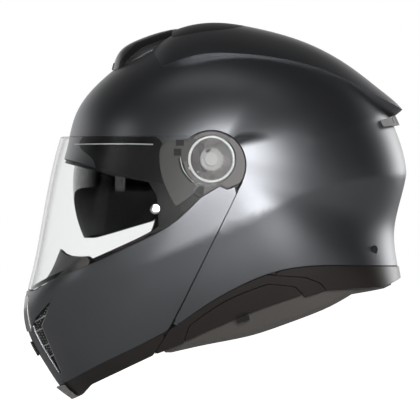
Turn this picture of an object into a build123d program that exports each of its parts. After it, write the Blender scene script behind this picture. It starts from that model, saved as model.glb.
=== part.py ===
from build123d import *
import math
import os

# Overall sizes, in millimetres. The helmet faces -X, the rider's left is -Y and +Z is up.
# The origin lies under the middle of the visor hinge axis, level with the tip of the chin.
helmet_length = 325.0
half_width = 127.5
crown_half_width = 122.6
shell_wall = 3.4
chin_wall = 3.0
visor_wall = 2.2
part_gap = 0.6
body_gap = 1.2
seat_gap = 0.35
rest_gap = 0.3

# Side-view points are (right, down) pixel places in the photograph.
# The helmet's length in that view gives the scale of every one of them.
photo_length = 387.0
hinge_pixel = (211.5, 160.0)
bottom_pixel = 398.8
scale = helmet_length / photo_length
hinge_height = (bottom_pixel - hinge_pixel[1]) * scale

# The section across the helmet is a superellipse: its powers, and the spacing of its sections.
reach_power = 2.3
width_power = 2.2
section_turns = (0, 15, 30, 45, 58, 68, 76, 81, 83.5)
pole_share = 0.3
bulge_turns = (15, 60)
bulge_end_turns = (-108, -140)
slab_reach = 1.3 * half_width
bore_start = 0.6 * half_width

# Silhouette of the shell, from the brow over the crown to the nape, then closed under the chin.
crown_pixels = [(66, 152), (76, 114), (101, 81), (138, 54), (182, 35.5), (232, 29.5), (284, 38.5),
                (333, 59.5), (374, 92), (394, 127)]
nape_pixels = [(404.5, 172), (394, 232), (398, 268)]
under_pixels = [(402, 320), (372, 382), (300, 405), (215, 411), (130, 409), (73, 398.5)]
chin_pixels = [(46, 365), (29, 333), (25, 311)]
face_pixels = [(32, 272), (42, 221), (50.5, 176), (57, 149)]
inner_face_pixels = [(36, 272), (47, 221), (56, 182)]
over_crown_pixels = [(62, 133), (80, 97), (119, 61), (174, 34.5), (232, 25.5), (289, 35.5),
                     (340, 58), (381, 91), (395.5, 125)]

ridge_outline = [(128, 76), (146, 52.5), (165, 35.5), (186, 26.5), (216, 22.8), (255, 28), (309, 44), (352, 68),
                 (383, 92), (403, 110.5), (414, 140), (396, 200), (340, 260), (211, 290), (110, 240), (96, 150)]
ridge_crease = [(162, 68), (181, 61), (202, 55.7), (232, 54.7), (275, 59), (326, 72), (366, 91), (404, 110.5)]


def place(pixel):
    """Turn a side-view pixel into its X and Z."""
    return ((pixel[0] - hinge_pixel[0]) * scale, (bottom_pixel - pixel[1]) * scale)


def spot(pixel, side=0.0):
    """Point of the side view, a distance out along Y."""
    along, up = place(pixel)
    return Vector(along, side, up)


def section_share(side, half, powers=(width_power, reach_power)):
    """Share of the silhouette's reach that the form keeps at a distance from the middle."""
    return max(0.0, 1 - (abs(side) / half) ** powers[0]) ** (1 / powers[1])


def bulge(along, up):
    """One behind and under the hinge, nothing above and ahead of it, smooth between."""
    turn = math.degrees(math.atan2(up, along))
    low, high = bulge_turns if turn > 0 else bulge_end_turns
    share = min(1.0, max(0.0, (turn - low) / (high - low)))
    return 1 - share * share * (3 - 2 * share)


forms = {}


def form(outline, inset=0.0, low_half=half_width, full_half=half_width,
         powers=(width_power, reach_power)):
    """Body whose side silhouette is the outline and whose sections round off towards the hinges."""
    key = (id(outline), inset, low_half)
    if key not in forms:
        half = full_half - inset
        sides = [half * math.sin(math.radians(turn)) for turn in section_turns]
        rings = []
        for side in [-s for s in reversed(sides[1:])] + sides:
            full = section_share(side, half, powers)
            low = max(section_share(side, low_half - inset, powers), pole_share * full)
            points = []
            for pixel in outline:
                along, up = place(pixel)
                up -= hinge_height
                reach = math.hypot(along, up)
                kept = bulge(along, up)
                share = (full * kept + low * (1 - kept)) * (reach - inset) / reach
                points.append(Vector(along * share, side, hinge_height + up * share))
            rings.append(Wire([Edge.make_spline(points, periodic=True)]))
        forms[key] = Solid.make_loft(rings)
    return forms[key]


shell_outline = crown_pixels + nape_pixels + under_pixels + chin_pixels + inner_face_pixels
face_outline = over_crown_pixels + nape_pixels + under_pixels + chin_pixels + face_pixels


def shell_form(inset=0.0):
    return form(shell_outline, inset, crown_half_width)


def face_form(inset=0.0):
    return form(face_outline, inset)


def slab(runs, low=-slab_reach, high=slab_reach):
    """Side-view outline carried across the helmet. Each run of three or more points is a curve."""
    edges = []
    for run in runs:
        points = [spot(pixel, low) for pixel in run]
        edges.append(Edge.make_line(*points) if len(points) == 2 else Edge.make_spline(points))
    return Solid.extrude(Face(Wire(edges)), Vector(0, high - low, 0))


def straight(points):
    """Runs of a polygon through the points."""
    return [[points[i], points[(i + 1) % len(points)]] for i in range(len(points))]


def whole(shape):
    """Largest solid of a cut, without its crumbs."""
    return max(shape.solids(), key=lambda solid: solid.volume)


def disc(pixel, radius, near, far):
    """Round block on the rider's left, between two distances from the middle."""
    along, up = place(pixel)
    plane = Plane(origin=(along, -near, up), z_dir=(0, -1, 0))
    return Solid.make_cylinder(radius, far - near, plane)


def other_side(shape):
    """The same piece on the rider's right."""
    return shape.mirror(Plane.XZ)


def write(name, shape):
    """Write one node."""
    export_step(shape, "parts/" + name + ".step")


def write_pair(name, shape):
    """Write the left piece and its mirror image as two nodes."""
    write("left_" + name, shape)
    write("right_" + name, other_side(shape))


os.makedirs("parts", exist_ok=True)

# Hinge stack, as distances out from the middle plane, from the shell's pocket floor outwards.
pocket_pixel = (211.5, 165.5)
pocket_radius = 29.0
boss_radius = 32.5
floor_inner = 114.4
floor_outer = 117.9
plate_inner = 118.2
plate_outer = 120.5
arm_inner = 122.45
arm_outer = 124.0
cam_outer = 124.1
cover_outer = 126.6
cup_radius = 23.0
cup_bore = 20.4
cam_radius = 19.4
ear_radius = 19.8
bush_radius = 6.0
running_fit = 0.05
bolt_radius = 4.0
bolt_head_radius = 7.5
bolt_head_height = 2.0
nut_radius = 8.0
nut_height = 3.8
bush_proud = 0.1
thread_proud = 1.0

# Lines of the side view that several pieces share.
seam_top = (243.6, 180)
seam_low = (185.3, 300.7)
seam_end = (171.5, 327.6)
shell_edge = [seam_end, (208, 302), (238, 285), (267, 272.7), (297, 266), (326, 264)]
shell_edge_rear = [(326, 264), (380, 264.7)]
far_left = -40
far_right = 460
far_up = -40
far_down = 450

# Outer shell: painted composite skin, stepped in ahead of the seam where the chin bar covers it.
step_depth = 6.0
step_wall = 3.2
brow_pixels = [(far_left, 152), (58, 156.9), (114, 171.6), (180, 184), (207, 187), seam_top]
skin_zone = slab([list(run) for run in zip(brow_pixels, brow_pixels[1:])]
                 + [[seam_top, seam_low], [seam_low, seam_end], shell_edge, shell_edge_rear,
                    [(380, 264.7), (far_right, 266.5)], [(far_right, 266.5), (far_right, far_up)],
                    [(far_right, far_up), (far_left, far_up)], [(far_left, far_up), brow_pixels[0]]])
step_zone = slab(straight([(130, 168), (146, 176), (158, 195), (160, 225), (153, 262), (150, 298),
                           (160, 326), (171, 327.6), (200, 307.4), (252, 200), (252, 165), (200, 150),
                           (150, 160)]))
back_zone = slab(straight([(far_left, far_up), (far_right, far_up), (far_right, far_down),
                           (178, far_down), (178, 332), (192, 303), (251, 179), (215, 203),
                           (180, 188), (146, 181), (114, 176), (far_left, 176)]))
pocket = disc(pocket_pixel, pocket_radius, floor_outer, slab_reach)
pockets = pocket + other_side(pocket)
pocket_floor = disc(pocket_pixel, boss_radius, floor_inner, arm_inner - seat_gap)
pocket_wall = disc(pocket_pixel, boss_radius, floor_inner, half_width) & skin_zone
pocket_floor = pocket_floor + pocket_wall
floors = (pocket_floor + other_side(pocket_floor)) & shell_form(part_gap)
shell_skin = shell_form() & skin_zone
shell_step = face_form(step_depth) & step_zone
shell_cavity = (shell_form(shell_wall) & back_zone) + face_form(step_depth + step_wall)
outer_shell = (shell_skin + shell_step) - shell_cavity

# Raised crown of the shell, from the scoop back to a small spoiler, over a sharp crease line.
scoop_rear = 177
scoop_notch_half = 38.0
ridge_zone = slab([ridge_crease, [(404, 110.5), (far_right, 112)], [(far_right, 112), (far_right, far_up)],
                   [(far_right, far_up), (150, far_up)], [(150, far_up), (150, 74)], [(150, 74), (162, 68)]])
scoop_notch = slab(straight([(far_left, far_up), (scoop_rear + 0.5, far_up), (scoop_rear + 0.5, far_down),
                             (far_left, far_down)]), -scoop_notch_half, scoop_notch_half)
ridge = (form(ridge_outline, 0.0, crown_half_width) & ridge_zone) - scoop_notch

# Holes for the snap plugs in the rear of the shell.
plug_place = Vector(134.8, -71.2, 125.0)
plug_way = Vector(0.79, -0.59, -0.15)
plug_radius = 3.5
plug_length = 1.8
plug_room = 9.0
plug_head_radius = 4.2
plug_head_height = 1.2


def plug_rod(radius, low, high):
    """Rod along the left rear plug's axis, between two distances from the shell's face."""
    plane = Plane(origin=plug_place + plug_way.normalized() * low, z_dir=plug_way)
    return Solid.make_cylinder(radius, high - low, plane)


plug_hole = plug_rod(plug_radius + seat_gap, -plug_room, 0) \
    + plug_rod(plug_head_radius + seat_gap, 0, plug_room)
bolt_passage = disc(hinge_pixel, bolt_radius + running_fit, bore_start, slab_reach)
outer_shell = outer_shell + floors + (ridge - shell_form(shell_wall))
for cut in (bolt_passage, plug_hole):
    outer_shell = outer_shell - cut - other_side(cut)
outer_shell = outer_shell - pockets
write("outer_shell", whole(outer_shell))

# Liner pieces inside the shell: foam that takes the blow, cloth pads that touch the head.
liner_gap = 0.6
foam_inner = 33.0
comfort_inner = 43.0
foam_front_inset = step_depth + step_wall + liner_gap
foam_zone = slab([[(74, 146), (100, 172)], [(100, 172), (122, 183)], [(122, 183), (150, 196)],
                  [(150, 196), (166, 240)], [(166, 240), (163, 300)], [(163, 300), (172, 321)],
                  [(172, 321), (208, 297), (238, 280), (267, 267.5), (297, 261), (326, 259)],
                  [(326, 259), (far_right, 260)], [(far_right, 260), (far_right, far_up)],
                  [(far_right, far_up), (far_left, far_up)], [(far_left, far_up), (74, 146)]])
foam_front_zone = slab(straight([(far_left, 177), (146, 177), (180, 184), (215, 198), (262, 172),
                                 (201, 304), (186, 332), (180, far_down), (far_left, far_down)]))
sun_pixel = (200.0, 185.0)
sun_radius = 107.0
sun_half = 111.0
sun_wall = 2.2
sun_clear = 3.0
nut_room_inner = 104.0


def round_form(radius, half):
    """Body turned about the sun visor's own hinge axis, so that it slides on itself."""
    sides = [half * math.sin(math.radians(turn)) for turn in (-89, -70, -50, -30, -12, 0, 12, 30, 50, 70, 89)]
    along, up = place(sun_pixel)
    curve = [Vector(along + radius * section_share(side, half), side, up) for side in sides]
    ends = [Vector(along, sides[-1], up), Vector(along, sides[0], up)]
    edges = [Edge.make_spline(curve), Edge.make_line(curve[-1], ends[0]),
             Edge.make_line(ends[0], ends[1]), Edge.make_line(ends[1], curve[0])]
    return Solid.revolve(Face(Wire(edges)), 360, Axis((along, 0, up), (0, 1, 0)))


sun_channel_zone = slab(straight([(214, 200), (214, 168), (150, 20), (far_left, 20), (far_left, 300),
                                  (160, 300), (190, 200)]))
sun_room = sun_channel_zone - round_form(sun_radius - sun_wall - sun_clear, sun_half - sun_wall - sun_clear)
nut_room = disc(pocket_pixel, boss_radius + part_gap, nut_room_inner, half_width)
impact_liner = (shell_form(shell_wall + liner_gap) & foam_zone) - shell_form(foam_inner)
impact_liner = impact_liner - (foam_front_zone - face_form(foam_front_inset))
impact_liner = impact_liner - sun_room - nut_room - other_side(nut_room)
write("impact_liner", whole(impact_liner))

comfort_zone = slab(straight([(112, 150), (126, 180), (150, 197), (240, 209), (430, 214),
                              (430, far_up), (60, far_up)]))
crown_liner = (shell_form(foam_inner + seat_gap) & comfort_zone) - shell_form(comfort_inner)
write("crown_liner", whole(crown_liner))

cheek_outline = [[(106, 226), (150, 206)], [(150, 206), (236, 217)], [(236, 217), (262, 250), (262, 272)],
                 [(262, 272), (238, 292), (207, 312), (168, 334)], [(168, 334), (146, 322)],
                 [(146, 322), (108, 262), (106, 226)]]
cheek_inner = 62.0
cheek_pad = (shell_form(foam_inner + seat_gap) & slab(cheek_outline, -slab_reach, -cheek_inner)) - sun_room
strap_width = 22.0
strap_thick = 2.0
strap_middle = -7.0
strap_top = 128.0
strap_low = 88.0
strap_reach = 82.0


def box_between(low, high):
    """Upright box between two corners."""
    size = high - low
    return Pos(low + size * 0.5) * Box(*size)


def strap_band(side, spare=0.0):
    """Band that leaves the cheek pad through a slot and hangs down its inner face."""
    near = cheek_inner - seat_gap
    half = strap_width / 2 + spare
    run = box_between(Vector(strap_middle - half, near - strap_thick - spare, strap_top - spare),
                      Vector(strap_middle + half, strap_reach + spare, strap_top + strap_thick + spare))
    drop = box_between(Vector(strap_middle - half, near - strap_thick, strap_low),
                       Vector(strap_middle + half, near, strap_top + strap_thick))
    band = run if spare else run + drop
    return band if side > 0 else band.mirror(Plane.XZ)


cheek_pad = cheek_pad - strap_band(-1, seat_gap)
write_pair("cheek_pad", whole(cheek_pad))
write("left_chin_strap", strap_band(-1))
write("right_chin_strap", strap_band(1))

# Buckle of the chin strap: a toothed tongue on the left band, a lever housing on the right one.
tongue_length = 40.0
tongue_width = 13.0
tongue_thick = 2.6
tooth_pitch = 4.0
tooth_height = 1.0
tooth_count = 7
buckle_overlap = 9.0
tongue_side = cheek_inner - seat_gap - strap_thick - seat_gap
buckle_top = strap_low + buckle_overlap
tongue_face = tongue_thick - tongue_side
tongue = box_between(Vector(strap_middle - tongue_width / 2, -tongue_side, buckle_top - tongue_length),
                     Vector(strap_middle + tongue_width / 2, tongue_face, buckle_top))
for row in range(tooth_count):
    low = buckle_top - tongue_length + (row + 1) * tooth_pitch
    tooth = box_between(Vector(strap_middle - tongue_width / 2, tongue_face, low),
                        Vector(strap_middle + tongue_width / 2, tongue_face + tooth_height, low + tooth_pitch / 2))
    tongue = tongue + tooth
write("buckle_tongue", tongue)
buckle_length = 32.0
buckle_width = 26.0
buckle_thick = 6.5
buckle_wall = 2.0
lever_pin_radius = 1.5
lever_length = 26.0
lever_thick = 2.4
buckle_low = Vector(strap_middle - buckle_width / 2, tongue_side - buckle_thick, buckle_top - buckle_length)
buckle_high = Vector(strap_middle + buckle_width / 2, tongue_side, buckle_top)
buckle_slot = box_between(buckle_low + Vector(buckle_wall, -buckle_wall, -buckle_wall),
                          buckle_high - Vector(buckle_wall, buckle_wall, -buckle_wall))
lever_axis = Vector(strap_middle, tongue_side - (buckle_thick + buckle_wall) / 2,
                    buckle_top - buckle_wall - lever_pin_radius)
buckle = box_between(buckle_low, buckle_high) - buckle_slot
lever_bore = Pos(lever_axis) * Rot(0, 90, 0) * Cylinder(lever_pin_radius + running_fit, 2 * buckle_width)
buckle_housing = buckle - lever_bore
write("buckle_housing", buckle_housing)
lever_pin = Pos(lever_axis) * Rot(0, 90, 0) * Cylinder(lever_pin_radius, buckle_width)
lever_plate = box_between(
    Vector(buckle_low.X + buckle_wall + seat_gap, lever_axis.Y - lever_thick / 2, lever_axis.Z - lever_length),
    Vector(buckle_high.X - buckle_wall - seat_gap, lever_axis.Y + lever_thick / 2, lever_axis.Z))
write("buckle_lever", lever_plate + lever_pin)

neck_outer = 5.2
neck_inner = 27.0
neck_zone = slab([[(172, 324), (208, 300), (238, 283), (267, 270.5), (297, 264), (326, 262)],
                  [(326, 262), (395, 262)], [(395, 262), (392, 279)], [(392, 279), (352, 288)],
                  [(352, 288), (333, 299), (311, 309), (282, 320), (253, 330), (209, 339.5), (166, 349.5)],
                  [(166, 349.5), (172, 324)]])
neck_roll = (shell_form(neck_outer) & neck_zone) - shell_form(neck_inner) \
    - slab(cheek_outline)
write("neck_roll", whole(neck_roll))

# Rubber strip along the brow, on the edge of the shell.
brow_seal_outer = 0.8
brow_seal_inner = 3.0
brow_seal_zone = slab(straight([(far_left, 152.6), (57.8, 157.5), (113.6, 172.2), (179.6, 184.7), (194, 186.7),
                                (193.6, 190.2), (179, 188.2), (112.8, 175.6), (57, 160.9), (far_left, 156)]))
brow_seal = (shell_form(brow_seal_outer) & brow_seal_zone) - shell_form(brow_seal_inner) - pockets \
    - (step_zone & face_form(step_depth - part_gap))
write("brow_seal", whole(brow_seal))

# Bottom trims on the shell, moulded plastic.
trim_outer = 0.4
trim_inner = 4.6
side_trim_zone = slab([[(171.2, 328.8), (208, 303.4), (238, 286.4), (266, 274.4)],
                       [(266, 274.4), (304, 277)], [(304, 277), (319, 283)], [(319, 283), (324, 289.6)],
                       [(324, 289.6), (305.5, 295.5)], [(305.5, 295.5), (253, 311.6), (183, 342), (166, 349)],
                       [(166, 349), (157.4, 352.2)], [(157.4, 352.2), (171.2, 328.8)]], -slab_reach, 0)
bay_outline = [[(189, 324), (226, 299), (267, 282.5)], [(267, 282.5), (294, 285)], [(294, 285), (303, 294)],
               [(303, 294), (253, 310), (184, 340)], [(184, 340), (189, 324)]]
bay_zone = slab(bay_outline, -slab_reach, 0)
bay_cover_zone = slab([[(190.2, 324.6), (226.6, 300.2), (267.2, 283.7)], [(267.2, 283.7), (293.3, 286)],
                       [(293.3, 286), (301, 293.6)], [(301, 293.6), (253, 308.8), (185.6, 338)],
                       [(185.6, 338), (190.2, 324.6)]], -slab_reach, 0)
trim_skin = (shell_form(trim_outer) & side_trim_zone) - shell_form(trim_inner)
side_trim = whole(trim_skin) - bay_zone
write_pair("side_trim", whole(side_trim))
intercom_cover = (shell_form(trim_outer) & bay_cover_zone) - shell_form(trim_inner)
write_pair("intercom_cover", whole(intercom_cover))
rear_outer = -1.2
rear_inner = 4.0
rear_trim_zone = slab([[(266.6, 273.8), (297, 267.4), (326, 265.4)], [(326, 265.4), (380, 266.1)],
                       [(380, 266.1), (far_right, 268)], [(far_right, 268), (403, 276)], [(403, 276), (383, 286)],
                       [(383, 286), (340, 288)], [(340, 288), (325, 289)], [(325, 289), (320, 282)],
                       [(320, 282), (304.5, 276)], [(304.5, 276), (266.6, 273.8)]])
rear_trim = (shell_form(rear_outer) & rear_trim_zone) - shell_form(rear_inner)
write("rear_trim", whole(rear_trim))

# Chin bar: painted skin with its seal, foam, trim and air inlet.
chin_seam_top = (240.6, 184.6)
chin_seam_low = (183.3, 299.7)
chin_seam_end = (169, 327)
chin_edge = [(35, 291), (50.6, 281.5), (80, 269), (114, 254), (145, 239.5), (170, 226), (201, 198)]
chin_low = [(166, 330), (140, 343.5), (100, 363), (65, 382.5)]
chin_zone = slab([[(far_left, 292.5), (35, 291)], chin_edge, [(201, 198), (219.5, 187)],
                  [(219.5, 187), (227.5, 190.5)], [(227.5, 190.5), chin_seam_top],
                  [chin_seam_top, chin_seam_low], [chin_seam_low, chin_seam_end],
                  [chin_seam_end, (166, 330)], chin_low, [(65, 382.5), (far_left, 424)],
                  [(far_left, 424), (far_left, 292.5)]])
vent_outline = [[(54, 296.5), (35.5, 317)], [(35.5, 317), (32, 327)], [(32, 327), (56, 373)],
                [(56, 373), (63, 373.5)], [(63, 373.5), (43, 325)], [(43, 325), (46.5, 317)],
                [(46.5, 317), (54, 296.5)]]
vent_near = 36.0
vent_zone = slab(vent_outline, -slab_reach, -vent_near)
chin_bar = (face_form() & chin_zone) - face_form(chin_wall) - vent_zone - other_side(vent_zone)
write("chin_bar", whole(chin_bar))

seal_outer = chin_wall + part_gap
seal_inner = 5.4
seal_zone = slab([[(far_left, 288), (35, 286)],
                  [(35, 286), (50.6, 276.5), (80, 264), (114, 249), (145, 234.5), (168, 221)],
                  [(168, 221), (178, 222)],
                  [(178, 222), (145, 243), (114, 258), (80, 273), (50.6, 285.5), (35, 295)],
                  [(35, 295), (far_left, 297)], [(far_left, 297), (far_left, 288)]])
chin_seal = (face_form(seal_outer) & seal_zone) - face_form(seal_inner)
write("visor_seal", whole(chin_seal))

chin_foam_outer = chin_wall + part_gap
chin_foam_inner = 22.0
chin_foam_zone = slab(straight([(far_left, 301), (38, 299), (105, 267), (105, 355), (66, 376), (far_left, 400)]))
chin_foam = (face_form(chin_foam_outer) & chin_foam_zone) - face_form(chin_foam_inner)
write("chin_foam", whole(chin_foam))

chin_trim_outer = 0.3
chin_trim_inner = 4.4
chin_trim_zone = slab([[(far_left, 424.6), (65, 383.1)], [(65, 383.1), (100, 363.6), (140, 344.1), (166.3, 330.5)],
                       [(166.3, 330.5), (152, 354)], [(152, 354), (92, 383.5)],
                       [(92, 383.5), (83, 393.5)], [(83, 393.5), (73, bottom_pixel)],
                       [(73, bottom_pixel), (50, bottom_pixel)], [(50, bottom_pixel), (far_left, 424.6)]])
chin_trim = (face_form(chin_trim_outer) & chin_trim_zone) - face_form(chin_trim_inner)
wedge_half = 30.0
wedge = slab(straight([(56.8, 386.8), (62, 391), (72.5, 398.5), (82.9, 394), (82.9, 383), (70, 381.2), (65, 383.7)]),
             -wedge_half, wedge_half)
chin_trim = chin_trim + wedge
write("chin_trim", whole(chin_trim))

mesh_outer = 2.2
mesh_inner = 3.4
mesh_near = vent_near + 1.0
mesh_zone = slab([[(53, 300), (37, 318)], [(37, 318), (33.5, 327)], [(33.5, 327), (57, 371.5)],
                  [(57, 371.5), (61.5, 371.8)], [(61.5, 371.8), (42.3, 325)], [(42.3, 325), (45.5, 316.5)],
                  [(45.5, 316.5), (53, 300)]], -slab_reach, -mesh_near)
vent_mesh = whole((face_form(mesh_outer) & mesh_zone) - face_form(mesh_inner))
rib_outer = 0.6
rib_thick = 1.6
rib_pixels = [(40.5, 318.5), (38.4, 330.5), (46.5, 344.5), (52, 355.5)]
rib_way = (12, 7)
for rib_pixel in rib_pixels:
    rib_low = (rib_pixel[0] - rib_way[0], rib_pixel[1] + rib_way[1])
    rib_high = (rib_pixel[0] + rib_way[0], rib_pixel[1] - rib_way[1])
    rib_zone = slab(straight([rib_low, rib_high, (rib_high[0], rib_high[1] + rib_thick / scale),
                              (rib_low[0], rib_low[1] + rib_thick / scale)]), -slab_reach, -mesh_near)
    vent_mesh = vent_mesh + ((face_form(rib_outer) & mesh_zone & rib_zone) - face_form(mesh_inner))
write_pair("chin_vent_mesh", whole(vent_mesh))

# Breath deflector behind the visor's lower edge, soft plastic on the chin foam.
deflector_outer = 14.0
deflector_inner = 16.0
deflector_half = 50.0
deflector_zone = slab(straight([(far_left, 249), (57, 249), (80, 257), (90, 273.7), (38, 298.55), (far_left, 300.5)]),
                      -deflector_half, deflector_half)
breath_deflector = (face_form(deflector_outer) & deflector_zone) - face_form(deflector_inner)
write("breath_deflector", whole(breath_deflector))

# Visor: clear moulding with round ears on the hinge, swinging with the chin bar and on its own.
visor_top = 137.4
visor_edge = [(35, 289), (50.6, 279.8), (80, 267.2), (114, 252.2), (145, 237.8), (170, 224.2), (201, 196.4)]
visor_zone = slab([[(far_left, visor_top), (205, visor_top)], [(205, visor_top), (218.6, 181.8)],
                   [(218.6, 181.8), (216.4, 185.7)], [(216.4, 185.7), (201, 196.4)], list(reversed(visor_edge)),
                   [(35, 289), (far_left, 290.6)], [(far_left, 290.6), (far_left, visor_top)]])
ear = disc(hinge_pixel, ear_radius, bore_start, slab_reach)
hub_bore = disc(hinge_pixel, bush_radius, bore_start, slab_reach)
visor_zone = visor_zone + ear + other_side(ear)
visor = (face_form() & visor_zone) - face_form(visor_wall)
visor = visor - hub_bore - other_side(hub_bore)
lip_half = 20.0
visor_lip = slab(straight([(34.5, 281), (21, 294.5), (21, 296.8), (24.2, 295.2), (25.9, 290.4),
                           (34.5, 288.8)]), -lip_half, lip_half)
lens_pin_pixel = (156, 209)
lens_pin_radius = 3.5
lens_pin_bore = disc(lens_pin_pixel, lens_pin_radius + running_fit, bore_start, slab_reach)
visor = visor + (visor_lip - face_form(visor_wall)) - lens_pin_bore - other_side(lens_pin_bore)
write("visor", whole(visor))
lens_pin_inner = 119.0
lens_pin_face = 0.9
lens_pin = disc(lens_pin_pixel, lens_pin_radius, lens_pin_inner, half_width) & face_form(-lens_pin_face)
write_pair("lens_pin", whole(lens_pin))

# Sun visor, let down behind the clear visor.
sun_zone = slab([[(far_left, 147), (118, 147)], [(118, 147), (168, 160)], [(168, 160), (200, 172)],
                 [(200, 172), (213, 185), (200, 198)], [(200, 198), (184, 197), (152, 221)],
                 [(152, 221), (95, 237.5)], [(95, 237.5), (far_left, 239)], [(far_left, 239), (far_left, 147)]])
sun_pin_radius = 4.0
sun_pin_inner = sun_half - 6.0
sun_bore = disc(sun_pixel, sun_pin_radius + running_fit, bore_start, slab_reach)
sun_visor = (round_form(sun_radius, sun_half) & sun_zone) \
    - round_form(sun_radius - sun_wall, sun_half - sun_wall)
sun_visor = sun_visor - sun_bore - other_side(sun_bore)
write("sun_visor", whole(sun_visor))
sun_pin = disc(sun_pixel, sun_pin_radius, sun_pin_inner, floor_inner)
write_pair("sun_visor_pin", sun_pin)

# Chin bar hinge: cupped plate on a bush, with the visor's cam disc over it.
hinge_floor = disc(hinge_pixel, cup_radius, plate_inner, plate_outer)
cup_sector = slab(straight([hinge_pixel, (168, 164), (150, 262), (290, 262), (262, 172)]), -slab_reach, 0)
cup_hole = disc(hinge_pixel, cup_bore, bore_start, slab_reach)
cup_wall = (disc(hinge_pixel, cup_radius, plate_inner, arm_outer) & cup_sector) - cup_hole
arm_outline = [(205, 180), (226, 180), (232, 192), (212, 236), (186, 246), (177, 226), (203, 200)]
arm_tab = slab(straight(arm_outline), -arm_outer, -arm_inner) - cup_hole
cover_sector = slab(straight([hinge_pixel, (240, 128), (270, 120), (270, 176), (240.8, 182.6),
                              (227.6, 188.2), (221, 185)]), -slab_reach, 0)
cover_ring = (disc(pocket_pixel, pocket_radius - body_gap, plate_inner, cover_outer) & cover_sector) - cup_hole
bush_hole = disc(hinge_pixel, bush_radius + running_fit, bore_start, slab_reach)
hinge_plate = hinge_floor + cup_wall + (arm_tab & face_form(chin_wall + rest_gap)) + cover_ring - bush_hole
write_pair("hinge_plate", whole(hinge_plate))

hinge_bush = disc(hinge_pixel, bush_radius, floor_outer, plate_outer + bush_proud) - bolt_passage
write_pair("hinge_bush", hinge_bush)
head_inner = plate_outer + bush_proud + running_fit
pivot_bolt = disc(hinge_pixel, bolt_radius, floor_inner - nut_height - thread_proud, head_inner) \
    + disc(hinge_pixel, bolt_head_radius, head_inner, head_inner + bolt_head_height)
write_pair("pivot_bolt", pivot_bolt)
nut_axis = place(hinge_pixel)
nut_plane = Plane(origin=(nut_axis[0], -floor_inner, nut_axis[1]), z_dir=(0, 1, 0))
pivot_nut = extrude(nut_plane * RegularPolygon(nut_radius, 6), nut_height) - bolt_passage
write_pair("pivot_nut", pivot_nut)
cam_disc = disc(hinge_pixel, cam_radius, plate_outer, cam_outer) \
    + disc(hinge_pixel, bush_radius - running_fit, cam_outer, cover_outer)
head_room = disc(hinge_pixel, bolt_head_radius + body_gap, bore_start, head_inner + bolt_head_height + rest_gap)
cam_disc = cam_disc - head_room
write_pair("visor_cam", cam_disc)

# Crown air scoop with its sliding shutter.
scoop_half = 58.0
scoop_gap = 0.4
scoop_powers = (3.0, 2.6)
scoop_outline = [(109, 92), (111, 78), (114, 64), (120, 51.5), (138, 40), (169, 30.2), (205, 28),
                 (240, 36), (272, 62), (284, 120), (250, 188), (180, 200), (132, 150)]
scoop_zone = slab(straight([(96, 97), (96, 15), (scoop_rear, 15), (scoop_rear, 60), (128, 102)]))
scoop_duct_half = 38.0
scoop_duct = slab(straight([(100, 80), (100, 58), (118, 57.5), (131, 47.5), (146, 40), (151, 39.5),
                            (151, 42.5), (131, 54.5), (118, 64), (108, 73)]), -scoop_duct_half, scoop_duct_half)
top_vent = (form(scoop_outline, 0.0, scoop_half, scoop_half, scoop_powers) & scoop_zone) - shell_form(-scoop_gap)
top_vent = top_vent - scoop_duct
write("top_vent", whole(top_vent))
shutter_half = 30.0
top_vent_slider = slab(straight([(111, 69.2), (124, 59.5), (122.6, 57.3), (113, 64.4), (111, 61.3),
                                 (108.3, 63.2), (109.4, 66.6)]), -shutter_half, shutter_half)
write("top_vent_slider", top_vent_slider)

# Chin air inlet: centre cover over the skin, with its sliding shutter knob under it.
cover_half = 33.0
cover_proud = 1.4
chin_cover_zone = slab([[(far_left, 297), (29.5, 295.5)], [(29.5, 295.5), (36, 297)], [(36, 297), (30, 321), (34, 331)],
                        [(34, 331), (far_left, 333)], [(far_left, 333), (far_left, 297)]], -cover_half, cover_half)
chin_cover = (face_form(-cover_proud) & chin_cover_zone) - face_form(-seat_gap)
write("chin_vent_cover", whole(chin_cover))
knob_half = 12.0
chin_vent_slider = slab(straight([(32.8, 343.3), (37.4, 352), (34.4, 353.6), (29.8, 344.9)]), -knob_half, knob_half)
write("chin_vent_slider", chin_vent_slider)

# Chin bar lock: release button under the chin, a hook each side, a striker on the shell.
button_half = 18.0
release_button = slab(straight([(83.3, 384.6), (83.3, 393.2), (91, 385)]), -button_half, button_half)
write("release_button", release_button)

latch_pixel = (116, 300)
striker_pixel = (141, 303)
plate_low = 92.0
plate_high = 94.5
hook_low = 95.5
hook_high = 98.5
striker_radius = 3.0
striker_end = 100.0
rivet_radius = 2.2
latch_pin_radius = 2.5
pin_proud = 1.5
hook_outline = [(111, 295), (121, 294), (128, 303), (136, 307.6), (146.8, 307.6), (146.8, 299.5),
                (151, 299.5), (151.5, 312), (132, 312.5), (112, 306)]
latch_hook = slab(straight(hook_outline), -hook_high, -hook_low) \
    - disc(latch_pixel, latch_pin_radius + running_fit, bore_start, half_width)
write_pair("latch_hook", latch_hook)
latch_pin = disc(latch_pixel, latch_pin_radius, hook_low - pin_proud, half_width) & face_form(chin_wall + rest_gap)
write_pair("latch_pin", whole(latch_pin))
striker = slab(straight([(136, 296), (160, 293), (160, 312), (136, 312)]), -plate_high, -plate_low)
striker = striker + disc(striker_pixel, striker_radius, plate_low, striker_end)
for rivet_pixel in ((155, 298), (155, 307)):
    rivet = disc(rivet_pixel, rivet_radius, plate_low, half_width)
    striker = striker + (rivet & face_form(step_depth + step_wall + rest_gap))
write_pair("latch_striker", striker)

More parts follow.
